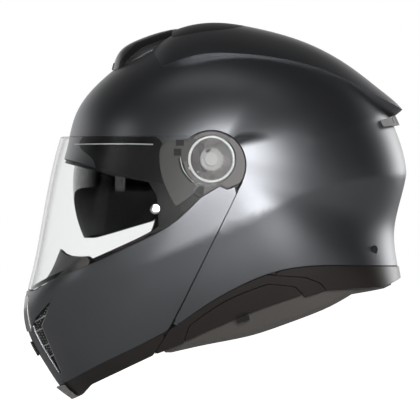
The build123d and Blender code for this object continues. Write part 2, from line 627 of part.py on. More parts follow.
# Rear air outlet under the crown ridge's tip, and the snap plugs in the rear of the shell.
grille_outer = -5.0
grille_half = 52.0
slot_pitch = 9.0
slot_width = 6.0
slot_rows = 4
grille_zone = slab(straight([(377, 122), (401, 113.2), (402, 124.8), (383, 127.2)]), -grille_half, grille_half)
rear_grille = shell_form(grille_outer) & grille_zone
rear_grille = rear_grille - (form(ridge_outline, -seat_gap, crown_half_width) & ridge_zone)
rear_grille = whole(rear_grille - shell_form(-seat_gap))
for row in range(-slot_rows, slot_rows + 1):
    slot = slab(straight([(391, 116.5), (410, 116.5), (410, 124), (391, 124)]),
                row * slot_pitch - slot_width / 2, row * slot_pitch + slot_width / 2)
    rear_grille = rear_grille - slot
write("rear_vent_grille", whole(rear_grille))
rear_plug = plug_rod(plug_radius, -plug_length, seat_gap) + plug_rod(plug_head_radius, seat_gap, plug_head_height)
write_pair("rear_plug", rear_plug)

# Slider of the sun visor on the left lower edge.
slider_zone = slab(straight([(236, 317), (248, 313.4), (249.4, 318.2), (237.4, 321.8)]), -slab_reach, 0)
slider_outer = -3.0
slider_inner = -0.6
sun_slider = (shell_form(slider_outer) & slider_zone) - shell_form(slider_inner)
write("sun_visor_slider", whole(sun_slider))
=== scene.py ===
import math
import bpy
import numpy as np
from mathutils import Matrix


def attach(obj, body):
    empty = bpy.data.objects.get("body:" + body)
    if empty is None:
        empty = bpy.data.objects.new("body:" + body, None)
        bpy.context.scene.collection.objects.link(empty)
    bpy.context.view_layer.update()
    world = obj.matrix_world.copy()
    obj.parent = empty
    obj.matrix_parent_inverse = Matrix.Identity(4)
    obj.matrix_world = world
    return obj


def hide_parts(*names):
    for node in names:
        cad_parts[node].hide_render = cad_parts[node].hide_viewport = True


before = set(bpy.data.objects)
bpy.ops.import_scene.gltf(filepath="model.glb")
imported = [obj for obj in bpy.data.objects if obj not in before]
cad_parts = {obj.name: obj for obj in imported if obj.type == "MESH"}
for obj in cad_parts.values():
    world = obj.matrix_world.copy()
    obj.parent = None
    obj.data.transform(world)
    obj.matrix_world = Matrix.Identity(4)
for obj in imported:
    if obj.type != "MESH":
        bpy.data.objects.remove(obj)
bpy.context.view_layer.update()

# Camera: level and square to the rider's left side, from far off, as in the photograph, whose
# frame is 420 pixels wide. Each pixel covers the same length at the middle of the helmet.
PIXEL = 0.325 / 387
HINGE_PIXEL = (211.5, 160.0)
CHIN_PIXEL_Y = 398.8
FRAME_PIXELS = 420
CAMERA_AWAY = 8.0
SENSOR = 36.0
MM = 0.001


def side_place(pixels):
    """Side-view pixels to metres: across the picture is X, and up it is Z."""
    pixels = np.asarray(pixels, float)
    return np.stack([(pixels[..., 0] - HINGE_PIXEL[0]) * PIXEL,
                     (CHIN_PIXEL_Y - pixels[..., 1]) * PIXEL], axis=-1)


frame_middle = side_place((FRAME_PIXELS / 2, FRAME_PIXELS / 2))
camera = bpy.data.objects.new("camera", bpy.data.cameras.new("camera"))
camera.data.sensor_width = SENSOR
camera.data.lens = SENSOR * CAMERA_AWAY / (FRAME_PIXELS * PIXEL)
camera.data.clip_end = 40.0
camera.location = (frame_middle[0], -CAMERA_AWAY, frame_middle[1])
camera.rotation_euler = (math.radians(90), 0, 0)
bpy.context.scene.collection.objects.link(camera)
bpy.context.scene.camera = camera

# Studio: the camera sees plain white behind the helmet, also straight through its clear visor. What
# lights the helmet is a world that is white low down behind it and dark towards the camera, and four
# soft lamps: a wide one near the camera's line for the glow behind the hinge, and three weak ones.
bpy.context.scene.view_settings.view_transform = "Standard"
world = bpy.data.worlds.new("studio")
bpy.context.scene.world = world
world.use_nodes = True
studio = world.node_tree
studio.nodes.clear()


def math_node(tree, operation, first, second):
    """Math node of a tree between two sockets or numbers, as its output."""
    node = tree.nodes.new("ShaderNodeMath")
    node.operation = operation
    for socket, value in zip(node.inputs, (first, second)):
        if isinstance(value, (int, float)):
            socket.default_value = value
        else:
            tree.links.new(value, socket)
    return node.outputs[0]


def smooth_step(tree, value, span, levels):
    """Node that goes smoothly between two levels as a value crosses a span, as its output."""
    node = tree.nodes.new("ShaderNodeMapRange")
    node.interpolation_type = "SMOOTHSTEP"
    for label, number in zip(("From Min", "From Max", "To Min", "To Max"), (*span, *levels)):
        node.inputs[label].default_value = number
    tree.links.new(value, node.inputs["Value"])
    return node.outputs[0]


BEHIND_SPAN, BEHIND_LEVELS = (0.25, 0.8), (0.015, 1.0)
ABOVE_SPAN, ABOVE_LEVELS = (0.1, 0.5), (1.0, 0.12)
toward = studio.nodes.new("ShaderNodeTexCoord")
ways = studio.nodes.new("ShaderNodeSeparateXYZ")
studio.links.new(toward.outputs["Generated"], ways.inputs[0])
lit = math_node(studio, "MULTIPLY", smooth_step(studio, ways.outputs["Y"], BEHIND_SPAN, BEHIND_LEVELS),
                smooth_step(studio, ways.outputs["Z"], ABOVE_SPAN, ABOVE_LEVELS))
path = studio.nodes.new("ShaderNodeLightPath")
other_bounces = math_node(studio, "SUBTRACT", path.outputs["Ray Depth"], path.outputs["Transmission Depth"])
through = math_node(studio, "MULTIPLY", path.outputs["Is Transmission Ray"],
                    math_node(studio, "LESS_THAN", other_bounces, 0.5))
level = studio.nodes.new("ShaderNodeMix")
studio.links.new(math_node(studio, "MAXIMUM", path.outputs["Is Camera Ray"], through), level.inputs["Factor"])
studio.links.new(lit, level.inputs["A"])
level.inputs["B"].default_value = 1.0
sky = studio.nodes.new("ShaderNodeBackground")
sky.inputs["Color"].default_value = (1, 1, 1, 1)
studio.links.new(level.outputs["Result"], sky.inputs["Strength"])
studio.links.new(sky.outputs[0], studio.nodes.new("ShaderNodeOutputWorld").inputs["Surface"])

HELMET_MIDDLE = (0.0, 0.0, 0.17)
LAMPS = [("glow_lamp", (0.38, -2.7, 0.36), (1.1, 1.4), 68), ("crown_strip", (-0.2, -0.6, 2.2), (1.8, 0.5), 2),
         ("front_strip", (-2.0, -0.7, 0.7), (0.5, 1.4), 3), ("rear_strip", (1.7, 2.0, 0.25), (1.2, 1.8), 16)]
for name, place, size, watts in LAMPS:
    light = bpy.data.lights.new(name, "AREA")
    light.shape = "RECTANGLE"
    light.size, light.size_y = size
    light.energy = watts
    lamp = bpy.data.objects.new(name, light)
    lamp.location = place
    way = np.subtract(HELMET_MIDDLE, place)
    lamp.rotation_euler = (math.atan2(math.hypot(way[0], way[1]), -way[2]), 0,
                           math.atan2(way[1], way[0]) - math.pi / 2)
    bpy.context.scene.collection.objects.link(lamp)

# Floor: a matte white disc that the chin and the rear edge stand on. It keeps the soft shadow, and
# glows for the camera alone, so that it runs into the white behind.
FLOOR_RADIUS, FLOOR_GLOW = 12.0, 1.1
floor_turns = np.linspace(0, 2 * math.pi, 64, endpoint=False)
floor_mesh = bpy.data.meshes.new("floor")
floor_mesh.from_pydata([(FLOOR_RADIUS * math.cos(t), FLOOR_RADIUS * math.sin(t), 0) for t in floor_turns],
                       [], [list(range(len(floor_turns)))])
floor = bpy.data.objects.new("floor", floor_mesh)
bpy.context.scene.collection.objects.link(floor)
floor_paint = bpy.data.materials.new("floor_paint")
floor_paint.use_nodes = True
floor_tree = floor_paint.node_tree
board = floor_tree.nodes["Principled BSDF"]
board.inputs["Base Color"].default_value = (0.9, 0.9, 0.9, 1)
board.inputs["Roughness"].default_value = 0.9
board.inputs["Specular IOR Level"].default_value = 0.0
board.inputs["Emission Color"].default_value = (1, 1, 1, 1)
path = floor_tree.nodes.new("ShaderNodeLightPath")
floor_tree.links.new(math_node(floor_tree, "MULTIPLY", path.outputs["Is Camera Ray"], FLOOR_GLOW),
                     board.inputs["Emission Strength"])
floor_mesh.materials.append(floor_paint)

# Outer shell: a painted composite skin laid up in a mould, cut back ahead of the seam to a
# flange that the chin bar laps over, with a round pocket each side for the hinge. Its side view is
# a closed outline of pixels round the hinge, and its sections are superellipses.
HALF_WIDTH = 0.1275
CROWN_HALF = 0.1226
SHELL_WALL = 0.0034
WIDTH_POWER, REACH_POWER = 2.2, 2.3
POLE_SHARE = 0.3
BULGE_TURNS = (15, 60)
BULGE_END_TURNS = (-108, -140)
HINGE = side_place(HINGE_PIXEL)
CROWN = [(66, 152), (76, 114), (101, 81), (138, 54), (182, 35.5), (232, 29.5), (284, 38.5),
         (333, 59.5), (374, 92), (394, 127)]
NAPE = [(404.5, 172), (394, 232), (398, 268)]
UNDER = [(402, 320), (372, 382), (300, 405), (215, 411), (130, 409), (73, 398.5)]
CHIN = [(46, 365), (29, 333), (25, 311)]
FACE = [(32, 272), (42, 221), (50.5, 176), (57, 149)]
INNER_FACE = [(36, 272), (47, 221), (56, 182)]
OVER_CROWN = [(62, 133), (80, 97), (119, 61), (174, 34.5), (232, 25.5), (289, 35.5), (340, 58),
              (381, 91), (395.5, 125)]


def curve_through(points, closed=False, count=600):
    """Points along the cubic through the given ones. Its knots lie at the chord lengths, and its
    bends at the knots solve the equations that keep slope and bend continuous along the curve."""
    points = np.asarray(points, float)
    if closed:
        points = np.vstack([points, points[:1]])
    steps = np.linalg.norm(np.diff(points, axis=0), axis=1)
    knots = np.concatenate([[0], np.cumsum(steps)])
    size = len(points)
    matrix, right = np.zeros((size, size)), np.zeros((size, 2))
    slopes = np.diff(points, axis=0) / steps[:, None]
    for i in range(1, size - 1):
        matrix[i, i - 1:i + 2] = steps[i - 1], 2 * (steps[i - 1] + steps[i]), steps[i]
        right[i] = 6 * (slopes[i] - slopes[i - 1])
    if closed:
        matrix[0, 0], matrix[0, -1] = 1, -1
        matrix[-1, 0], matrix[-1, 1] = 2 * steps[0], steps[0]
        matrix[-1, -1], matrix[-1, -2] = 2 * steps[-1], steps[-1]
        right[-1] = 6 * (slopes[0] - slopes[-1])
    else:
        matrix[0, 0] = matrix[-1, -1] = 1
    bends = np.linalg.solve(matrix, right)
    at = np.linspace(0, knots[-1], count)
    i = np.clip(np.searchsorted(knots, at, side="right") - 1, 0, size - 2)
    a, b, h = (knots[i + 1] - at)[:, None], (at - knots[i])[:, None], steps[i][:, None]
    return (bends[i] * a ** 3 / (6 * h) + bends[i + 1] * b ** 3 / (6 * h)
            + (points[i] / h - bends[i] * h / 6) * a + (points[i + 1] / h - bends[i + 1] * h / 6) * b)


def reach_table(outline):
    """Turn about the hinge and reach from it of a closed outline, sorted by turn."""
    line = side_place(curve_through(outline, closed=True, count=2400)[:-1]) - HINGE
    turns = np.arctan2(line[:, 1], line[:, 0])
    order = np.argsort(turns)
    return turns[order], np.hypot(line[:, 0], line[:, 1])[order]


def section_share(side, half, width_power=WIDTH_POWER, reach_power=REACH_POWER):
    """Superellipse: the share of its reach that the form keeps at a distance from the middle."""
    return np.maximum(0, 1 - (np.abs(side) / half) ** width_power) ** (1 / reach_power)


def form_reach(turn, side, table, inset=0.0, low_half=HALF_WIDTH, full_half=HALF_WIDTH,
               powers=(WIDTH_POWER, REACH_POWER)):
    """Distance of a form's surface from the hinge axis, at a turn about it and a distance to the
    side: the outline's reach there, less the inset, times the superellipse's share."""
    full = section_share(side, full_half - inset, *powers)
    low = np.maximum(section_share(side, low_half - inset, *powers), POLE_SHARE * full)
    degrees = np.degrees(turn)
    up = np.where(degrees > 0, (degrees - BULGE_TURNS[0]) / (BULGE_TURNS[1] - BULGE_TURNS[0]),
                  (degrees - BULGE_END_TURNS[0]) / (BULGE_END_TURNS[1] - BULGE_END_TURNS[0]))
    up = np.clip(up, 0, 1)
    kept = 1 - up * up * (3 - 2 * up)
    return (full * kept + low * (1 - kept)) * (np.interp(turn, *table, period=2 * math.pi) - inset)


def grid_normal(place):
    """Unit normals of a grid, square to its rows and its columns, straight out at its poles."""
    around = np.roll(place, -1, axis=0) - np.roll(place, 1, axis=0)
    normal = np.cross(around, np.gradient(place, axis=1))
    normal[:, 0], normal[:, -1] = (0, -1, 0), (0, 1, 0)
    return normal / (np.linalg.norm(normal, axis=-1, keepdims=True) + 1e-12)


def grid_surface(place, normal):
    """Surface of a grid that closes on itself round its turns: places, normals and quads."""
    index = np.arange(place.shape[0] * place.shape[1]).reshape(place.shape[:2])
    ahead = np.roll(index, -1, axis=0)
    quads = np.stack([index[:, :-1], ahead[:, :-1], ahead[:, 1:], index[:, 1:]], axis=-1)
    return {"place": place.reshape(-1, 3), "normal": normal.reshape(-1, 3), "quads": quads.reshape(-1, 4)}


def helmet_form(form, inset=0.0, turns=420, leans=171, relief=None):
    """Surface round the hinge axis. A point's turn picks its reach on the outline, and its lean
    how far it goes out to the side, where the superellipse draws it in towards the hinge."""
    turn = np.linspace(-math.pi, math.pi, turns, endpoint=False)[:, None]
    lean = np.linspace(-math.pi / 2, math.pi / 2, leans)[None, :]
    side = (form.get("full_half", HALF_WIDTH) - inset) * np.sin(lean)
    reach = form_reach(turn, side, inset=inset, **form)
    place = np.stack([reach * np.cos(turn), np.broadcast_to(side, reach.shape),
                      HINGE[1] + reach * np.sin(turn)], axis=-1)
    normal = grid_normal(place)
    out = (normal[..., 0] * np.cos(turn) + normal[..., 2] * np.sin(turn)
           + normal[..., 1] * np.sin(lean)).mean()
    normal *= np.sign(out)
    if relief is not None:
        place = place + normal * relief(side_pixel(place), side)[..., None]
        bent = grid_normal(place)
        normal = bent * np.sign((bent * normal).sum(-1, keepdims=True))
    return grid_surface(place, normal)


def side_pixel(place):
    """Metres back to side-view pixels."""
    return np.stack([place[..., 0] / PIXEL + HINGE_PIXEL[0], CHIN_PIXEL_Y - place[..., 2] / PIXEL], axis=-1)


def outline_of(runs):
    """Corners of a closed side-view outline. A run of three or more points is a curve."""
    points = []
    for run in runs:
        points.append(np.asarray(run, float)[:-1] if len(run) == 2
                      else curve_through(run, count=8 * len(run))[:-1])
    return np.vstack(points)


def straight(points):
    """Runs of a polygon through the points."""
    return [[points[i], points[(i + 1) % len(points)]] for i in range(len(points))]


def closed_runs(*stretches):
    """Runs of a closed outline from its stretches: a corner is a pixel and a curve a list of them.
    Where a stretch doesn't start where the last one ends, a straight run joins them."""
    stretches = [stretch if isinstance(stretch, list) else [stretch] for stretch in stretches]
    runs = []
    for stretch, following in zip(stretches, stretches[1:] + stretches[:1]):
        if len(stretch) > 1:
            runs.append(stretch)
        if stretch[-1] != following[0]:
            runs.append([stretch[-1], following[0]])
    return runs


def away_from_line(pixels, line):
    """Distance to an open line of points, on the left of its way positive."""
    best, sign = np.full(len(pixels), 1e9), np.ones(len(pixels))
    for a, b in zip(line[:-1], line[1:]):
        way, to = b - a, pixels - a
        along = np.clip(to @ way / (way @ way), 0, 1)
        gap = np.linalg.norm(to - along[:, None] * way, axis=1)
        nearer = gap < best
        best[nearer] = gap[nearer]
        sign[nearer] = np.where((way[0] * to[:, 1] - way[1] * to[:, 0])[nearer] < 0, 1.0, -1.0)
    return best * sign


def within(outline):
    """Zone test: how far in an outline each pixel lies, in pixels, negative outside it."""
    corners = outline_of(outline)
    ends = np.roll(corners, -1, axis=0)

    def depth(pixels, side):
        result = np.full(len(pixels), -50.0)
        low, high = corners.min(axis=0) - 6, corners.max(axis=0) + 6
        near = ((pixels > low) & (pixels < high)).all(axis=1)
        spots = pixels[near]
        best, inside = np.full(len(spots), 1e9), np.zeros(len(spots), bool)
        for a, b in zip(corners, ends):
            way, to = b - a, spots - a
            along = np.clip(to @ way / (way @ way + 1e-12), 0, 1)
            best = np.minimum(best, np.linalg.norm(to - along[:, None] * way, axis=1))
            if a[1] != b[1]:
                crosses = (a[1] > spots[:, 1]) != (b[1] > spots[:, 1])
                inside ^= crosses & (to[:, 0] < way[0] * to[:, 1] / way[1])
        result[near] = np.where(inside, best, -best)
        return result

    return depth


def round_zone(pixel, radius):
    """Zone test of a circle in the side view, its radius in metres."""
    return lambda pixels, side: radius / PIXEL - np.hypot(pixels[:, 0] - pixel[0], pixels[:, 1] - pixel[1])


def both(*zones):
    """Zone test: in all of the zones."""
    return lambda pixels, side: np.minimum.reduce([zone(pixels, side) for zone in zones])


def either(*zones):
    """Zone test: in any of the zones."""
    return lambda pixels, side: np.maximum.reduce([zone(pixels, side) for zone in zones])


def outside(zone):
    """Zone test: not in the zone."""
    return lambda pixels, side: -zone(pixels, side)


def inboard(half):
    """Zone test: nearer to the middle plane than a distance."""
    return lambda pixels, side: (half - np.abs(side)) / PIXEL


def on_left(pixels, side):
    """Zone test: on the rider's left."""
    return -side / PIXEL


def on_right(pixels, side):
    """Zone test: on the rider's right."""
    return side / PIXEL


SNAP_DEPTH = 0.06
WELDS_PER_METRE = 2e5


def trimmed(surface, zone):
    """The triangles of a surface that lie in a zone. Each edge that leaves it is cut where the
    zone's depth, taken as linear along the edge, comes to zero."""
    place, normal, quads = surface["place"], surface["normal"], surface["quads"]
    depth = zone(side_pixel(place), place[:, 1])
    depth = np.where(np.abs(depth) < SNAP_DEPTH, SNAP_DEPTH, depth)
    used = quads[(depth[quads] > 0).any(axis=1)]
    triangles = np.vstack([used[:, [0, 1, 2]], used[:, [0, 2, 3]]])
    kept = depth[triangles] > 0
    counts = kept.sum(axis=1)
    whole = [triangles[counts == 3]]
    new_pairs, pieces = [], []
    for inside in (1, 2):
        group = triangles[counts == inside]
        keep = kept[counts == inside]
        odd = np.argmax(keep if inside == 1 else ~keep, axis=1)
        rows = np.arange(len(group))
        a, b, c = group[rows, odd], group[rows, (odd + 1) % 3], group[rows, (odd + 2) % 3]
        start = len(place) + sum(len(p) for p in new_pairs)
        new_pairs.append(np.stack([a, b], axis=1))
        new_pairs.append(np.stack([a, c], axis=1))
        ab, ac = start + rows, start + len(rows) + rows
        if inside == 1:
            pieces.append(np.stack([a, ab, ac], axis=1))
        else:
            pieces.append(np.stack([ab, b, c], axis=1))
            pieces.append(np.stack([ab, c, ac], axis=1))
    pairs = np.vstack(new_pairs)
    share = (depth[pairs[:, 0]] / (depth[pairs[:, 0]] - depth[pairs[:, 1]]))[:, None]
    place = np.vstack([place, place[pairs[:, 0]] * (1 - share) + place[pairs[:, 1]] * share])
    normal = np.vstack([normal, normal[pairs[:, 0]] * (1 - share) + normal[pairs[:, 1]] * share])
    triangles = np.vstack(whole + pieces)
    keys = np.round(place * WELDS_PER_METRE).astype(np.int64)
    _, first, same = np.unique(keys, axis=0, return_index=True, return_inverse=True)
    triangles = same.reshape(-1)[triangles]
    flat = (triangles[:, 0] == triangles[:, 1]) | (triangles[:, 1] == triangles[:, 2]) \
        | (triangles[:, 0] == triangles[:, 2])
    triangles = triangles[~flat]
    named, compact = np.unique(triangles, return_inverse=True)
    triangles = compact.reshape(-1, 3)
    place, normal = place[first][named], normal[first][named]
    normal /= np.linalg.norm(normal, axis=1, keepdims=True)
    a, b, c = (place[triangles[:, k]] for k in range(3))
    facing = (np.cross(b - a, c - a) * normal[triangles[:, 0]]).sum(axis=1)
    triangles[facing < 0] = triangles[facing < 0][:, ::-1]
    return place, normal, triangles


RIM_STEPS = 4


def thickened(place, normal, triangles, wall, roll=0.5):
    """Closed wall below a sheet: the sheet, its copy a wall further in, and a rim that rolls from
    one to the other on half an ellipse, which stands out by a share of half the wall."""
    edges = np.vstack([triangles[:, [0, 1]], triangles[:, [1, 2]], triangles[:, [2, 0]]])
    keys = edges[:, 0] * len(place) + edges[:, 1]
    back = edges[:, 1] * len(place) + edges[:, 0]
    rim = edges[~np.isin(keys, back)]
    out = np.zeros_like(place)
    sideways = np.cross(place[rim[:, 1]] - place[rim[:, 0]], normal[rim[:, 0]])
    np.add.at(out, rim[:, 0], sideways)
    np.add.at(out, rim[:, 1], sideways)
    size = np.linalg.norm(out, axis=1, keepdims=True)
    out = np.divide(out, size, out=np.zeros_like(out), where=size > 0)
    on_rim = np.unique(rim)
    rows = [place]
    wall = np.broadcast_to(wall, len(place))[:, None]
    compact = np.full(len(place), -1)
    compact[on_rim] = np.arange(len(on_rim))
    offset = len(place)
    layers = [np.arange(len(place))[on_rim]]
    for k in range(1, RIM_STEPS):
        turn = math.pi * k / RIM_STEPS
        rows.append(place[on_rim] - normal[on_rim] * wall[on_rim] / 2 * (1 - math.cos(turn))
                    + out[on_rim] * wall[on_rim] / 2 * roll * math.sin(turn))
        layers.append(offset + np.arange(len(on_rim)))
        offset += len(on_rim)
    rows.append(place - normal * wall)
    layers.append(offset + on_rim)
    faces = [triangles, triangles[:, ::-1] + offset]
    for upper, lower in zip(layers[:-1], layers[1:]):
        a, b = compact[rim[:, 0]], compact[rim[:, 1]]
        faces.append(np.stack([upper[b], upper[a], lower[a]], axis=1))
        faces.append(np.stack([upper[b], lower[a], lower[b]], axis=1))
    return np.vstack(rows), np.vstack(faces)


SHARP_TURN = math.radians(32)


def lay_mesh(name, place, faces, material, smooth=True):
    """Mesh object at the origin from arrays of places and of triangles or quads."""
    mesh = bpy.data.meshes.new(name)
    faces = np.asarray(faces)
    mesh.vertices.add(len(place))
    mesh.vertices.foreach_set("co", np.ascontiguousarray(place, dtype=np.float32).ravel())
    mesh.loops.add(faces.size)
    mesh.loops.foreach_set("vertex_index", faces.ravel().astype(np.int32))
    mesh.polygons.add(len(faces))
    mesh.polygons.foreach_set("loop_start", np.arange(0, faces.size, faces.shape[1], dtype=np.int32))
    mesh.polygons.foreach_set("use_smooth", np.full(len(faces), smooth))
    mesh.update(calc_edges=True)
    mesh.validate()
    mesh.set_sharp_from_angle(angle=SHARP_TURN)
    mesh.materials.append(material)
    obj = bpy.data.objects.new(name, mesh)
    bpy.context.scene.collection.objects.link(obj)
    return obj


def panel(surface, zone, wall, roll=0.5):
    """Wall of a thickness under the part of a surface in a zone, as places and faces."""
    return thickened(*trimmed(surface, zone), wall, roll)


def joined(*bodies):
    """Several bodies of places and triangles as one."""
    places, faces, start = [], [], 0
    for place, face in bodies:
        places.append(place)
        faces.append(np.asarray(face) + start)
        start += len(place)
    return np.vstack(places), np.vstack(faces)


def mirrored(place, faces):
    """The same body on the rider's other side."""
    return place * (1, -1, 1), np.asarray(faces)[:, ::-1]


def group(name, inputs, outputs):
    """New shader node group with its sockets, and its input and output nodes."""
    tree = bpy.data.node_groups.new(name, "ShaderNodeTree")
    for label, kind, value in inputs:
        socket = tree.interface.new_socket(label, in_out="INPUT", socket_type=kind)
        socket.default_value = value
    for label, kind in outputs:
        tree.interface.new_socket(label, in_out="OUTPUT", socket_type=kind)
    return tree, tree.nodes.new("NodeGroupInput"), tree.nodes.new("NodeGroupOutput")


# Grain: fine noise on the object's own place, for the colour's slight unevenness and for the
# roughness and the height that feed each material.
grain, grain_in, grain_out = group(
    "grain",
    [("Scale", "NodeSocketFloat", 400.0), ("Tone", "NodeSocketFloat", 0.1),
     ("Roughness", "NodeSocketFloat", 0.4), ("Spread", "NodeSocketFloat", 0.08),
     ("Color", "NodeSocketColor", (0.5, 0.5, 0.5, 1))],
    [("Color", "NodeSocketColor"), ("Roughness", "NodeSocketFloat"), ("Height", "NodeSocketFloat")])
spot = grain.nodes.new("ShaderNodeTexCoord")
fine = grain.nodes.new("ShaderNodeTexNoise")
fine.inputs["Detail"].default_value = 4
broad = grain.nodes.new("ShaderNodeTexNoise")
broad.inputs["Scale"].default_value = 14
grain.links.new(spot.outputs["Object"], fine.inputs["Vector"])
grain.links.new(spot.outputs["Object"], broad.inputs["Vector"])
grain.links.new(grain_in.outputs["Scale"], fine.inputs["Scale"])
mixed = math_node(grain, "ADD", math_node(grain, "MULTIPLY", fine.outputs[0], 0.6),
                  math_node(grain, "MULTIPLY", broad.outputs[0], 0.4))
swing = math_node(grain, "SUBTRACT", mixed, 0.5)
bright = math_node(grain, "ADD", 1.0, math_node(grain, "MULTIPLY", swing, grain_in.outputs["Tone"]))
tint = grain.nodes.new("ShaderNodeVectorMath")
tint.operation = "SCALE"
grain.links.new(grain_in.outputs["Color"], tint.inputs[0])
grain.links.new(bright, tint.inputs["Scale"])
grain.links.new(tint.outputs[0], grain_out.inputs["Color"])
grain.links.new(math_node(grain, "ADD", grain_in.outputs["Roughness"],
                          math_node(grain, "MULTIPLY", swing, grain_in.outputs["Spread"])),
                grain_out.inputs["Roughness"])
grain.links.new(fine.outputs[0], grain_out.inputs["Height"])


def finish_material(name, color, roughness, scale=400.0, tone=0.3, spread=0.15, bump=0.05, reach=0.0002,
                    **settings):
    """Principled material with the grain group in its colour, roughness and bump."""
    material = bpy.data.materials.new(name)
    material.use_nodes = True
    tree = material.node_tree
    shader = tree.nodes["Principled BSDF"]
    node = tree.nodes.new("ShaderNodeGroup")
    node.node_tree = grain
    node.inputs["Scale"].default_value = scale
    node.inputs["Tone"].default_value = tone
    node.inputs["Roughness"].default_value = roughness
    node.inputs["Spread"].default_value = spread
    node.inputs["Color"].default_value = (*color, 1)
    tree.links.new(node.outputs["Color"], shader.inputs["Base Color"])
    tree.links.new(node.outputs["Roughness"], shader.inputs["Roughness"])
    raised = tree.nodes.new("ShaderNodeBump")
    raised.inputs["Strength"].default_value = bump
    raised.inputs["Distance"].default_value = reach
    tree.links.new(node.outputs["Height"], raised.inputs["Height"])
    tree.links.new(raised.outputs[0], shader.inputs["Normal"])
    for label, value in settings.items():
        shader.inputs[label.replace("_", " ")].default_value = value
    return material


SHELL_FORM = {"table": reach_table(CROWN + NAPE + UNDER + CHIN + INNER_FACE), "low_half": CROWN_HALF}
FACE_FORM = {"table": reach_table(OVER_CROWN + NAPE + UNDER + CHIN + FACE)}

FAR_LEFT, FAR_RIGHT, FAR_UP = -40, 460, -40
SEAM_TOP, SEAM_LOW, SEAM_END = (243.6, 180), (185.3, 300.7), (171.5, 327.6)
BROW = [(FAR_LEFT, 152), (58, 156.9), (114, 171.6), (180, 184), (207, 187), SEAM_TOP]
SHELL_EDGE = [SEAM_END, (208, 302), (238, 285), (267, 272.7), (297, 266), (326, 264)]
skin_outline = closed_runs(*BROW, SEAM_LOW, SHELL_EDGE, (380, 264.7), (FAR_RIGHT, 266.5),
                           (FAR_RIGHT, FAR_UP), (FAR_LEFT, FAR_UP))
step_outline = straight([(130, 168), (146, 176), (158, 195), (160, 225), (153, 262), (150, 298), (160, 326),
                         (171, 327.6), (200, 307.4), (252, 200), (252, 165), (200, 150), (150, 160)])
POCKET_PIXEL = (211.5, 165.5)
POCKET_RADIUS = 0.029
STEP_DEPTH, STEP_WALL = 0.006, 0.0032

CHARACTER_LINE = curve_through([(45, 290), (100, 273.5), (158, 257), (206, 237), (219, 231), (275, 206),
                                (326, 186), (339, 183), (403, 173)], count=60)
MINOR_LINE = curve_through([(313, 140), (345, 128.5), (377, 117)], count=12)
CHARACTER_FOLD, MINOR_FOLD = (0.0016, 16, 1.5), (0.0006, 8, 1.2)


def fold(pixels, line, height, reach, tip):
    """Soft ridge along a line: it falls off on each side as an exponential, rounded at its tip."""
    shape = pixels.shape[:-1]
    gap = np.abs(away_from_line(pixels.reshape(-1, 2), line)).reshape(shape)
    return height * np.exp(-(np.sqrt(gap ** 2 + tip ** 2) - tip) / reach)


def shell_relief(pixels, side):
    """Outward shift of the paint: the long character line and the short one behind it."""
    return fold(pixels, CHARACTER_LINE, *CHARACTER_FOLD) + fold(pixels, MINOR_LINE, *MINOR_FOLD)


paint = finish_material("satin_paint", (0.17, 0.175, 0.186), 0.38, scale=2600, tone=0.5, spread=0.06,
                        bump=0.04, reach=0.0001, Metallic=0.9, Coat_Weight=0.2, Coat_Roughness=0.35)
shell_surface = helmet_form(SHELL_FORM, turns=360, leans=141, relief=shell_relief)
step_surface = helmet_form(FACE_FORM, STEP_DEPTH, turns=200, leans=81)
pocket_hole = round_zone(POCKET_PIXEL, POCKET_RADIUS)


def side_on(pixels, form, inset=0.0):
    """How far out to the side a form's surface lies at side-view pixels, found by halving."""
    place = side_place(pixels) - HINGE
    turn, reach = np.arctan2(place[..., 1], place[..., 0]), np.hypot(place[..., 0], place[..., 1])
    near = np.zeros_like(reach)
    far = np.full_like(reach, form.get("full_half", HALF_WIDTH) - inset)
    for _ in range(30):
        middle = (near + far) / 2
        out = form_reach(turn, middle, inset=inset, **form) > reach
        near, far = np.where(out, middle, near), np.where(out, far, middle)
    return near


def ringed(rings, closed_ends=True):
    """Closed skin over rings of equally many points, each end shut with a fan to its middle."""
    rings = np.asarray(rings)
    count, size = rings.shape[:2]
    index = np.arange(count * size).reshape(count, size)
    ahead = np.roll(index, -1, axis=1)
    a, b, c, d = index[:-1], ahead[:-1], ahead[1:], index[1:]
    faces = [np.stack([a, b, c], axis=-1).reshape(-1, 3), np.stack([a, c, d], axis=-1).reshape(-1, 3)]
    place = rings.reshape(-1, 3)
    if closed_ends:
        middles = np.stack([rings[0].mean(axis=0), rings[-1].mean(axis=0)])
        first, last = count * size, count * size + 1
        faces.append(np.stack([ahead[0], index[0], np.full(size, first)], axis=-1))
        faces.append(np.stack([index[-1], ahead[-1], np.full(size, last)], axis=-1))
        place = np.vstack([place, middles])
    faces = np.vstack(faces)
    a, b, c = (place[faces[:, k]] for k in range(3))
    if (np.cross(a, b) * c).sum() < 0:
        faces = faces[:, ::-1]
    return place, faces


def lathe(pixel, profile, turns=96):
    """Round body on the rider's left: a closed profile of (radius, distance out) in millimetres,
    turned about the line across the helmet at a pixel."""
    middle = side_place(pixel)
    turn = np.linspace(0, 2 * math.pi, turns, endpoint=False)
    rings = []
    for radius, out in profile:
        rings.append(np.stack([middle[0] + radius * MM * np.cos(turn), np.full(turns, -out * MM),
                               middle[1] + radius * MM * np.sin(turn)], axis=-1))
    return ringed(rings + [rings[0]], closed_ends=False)


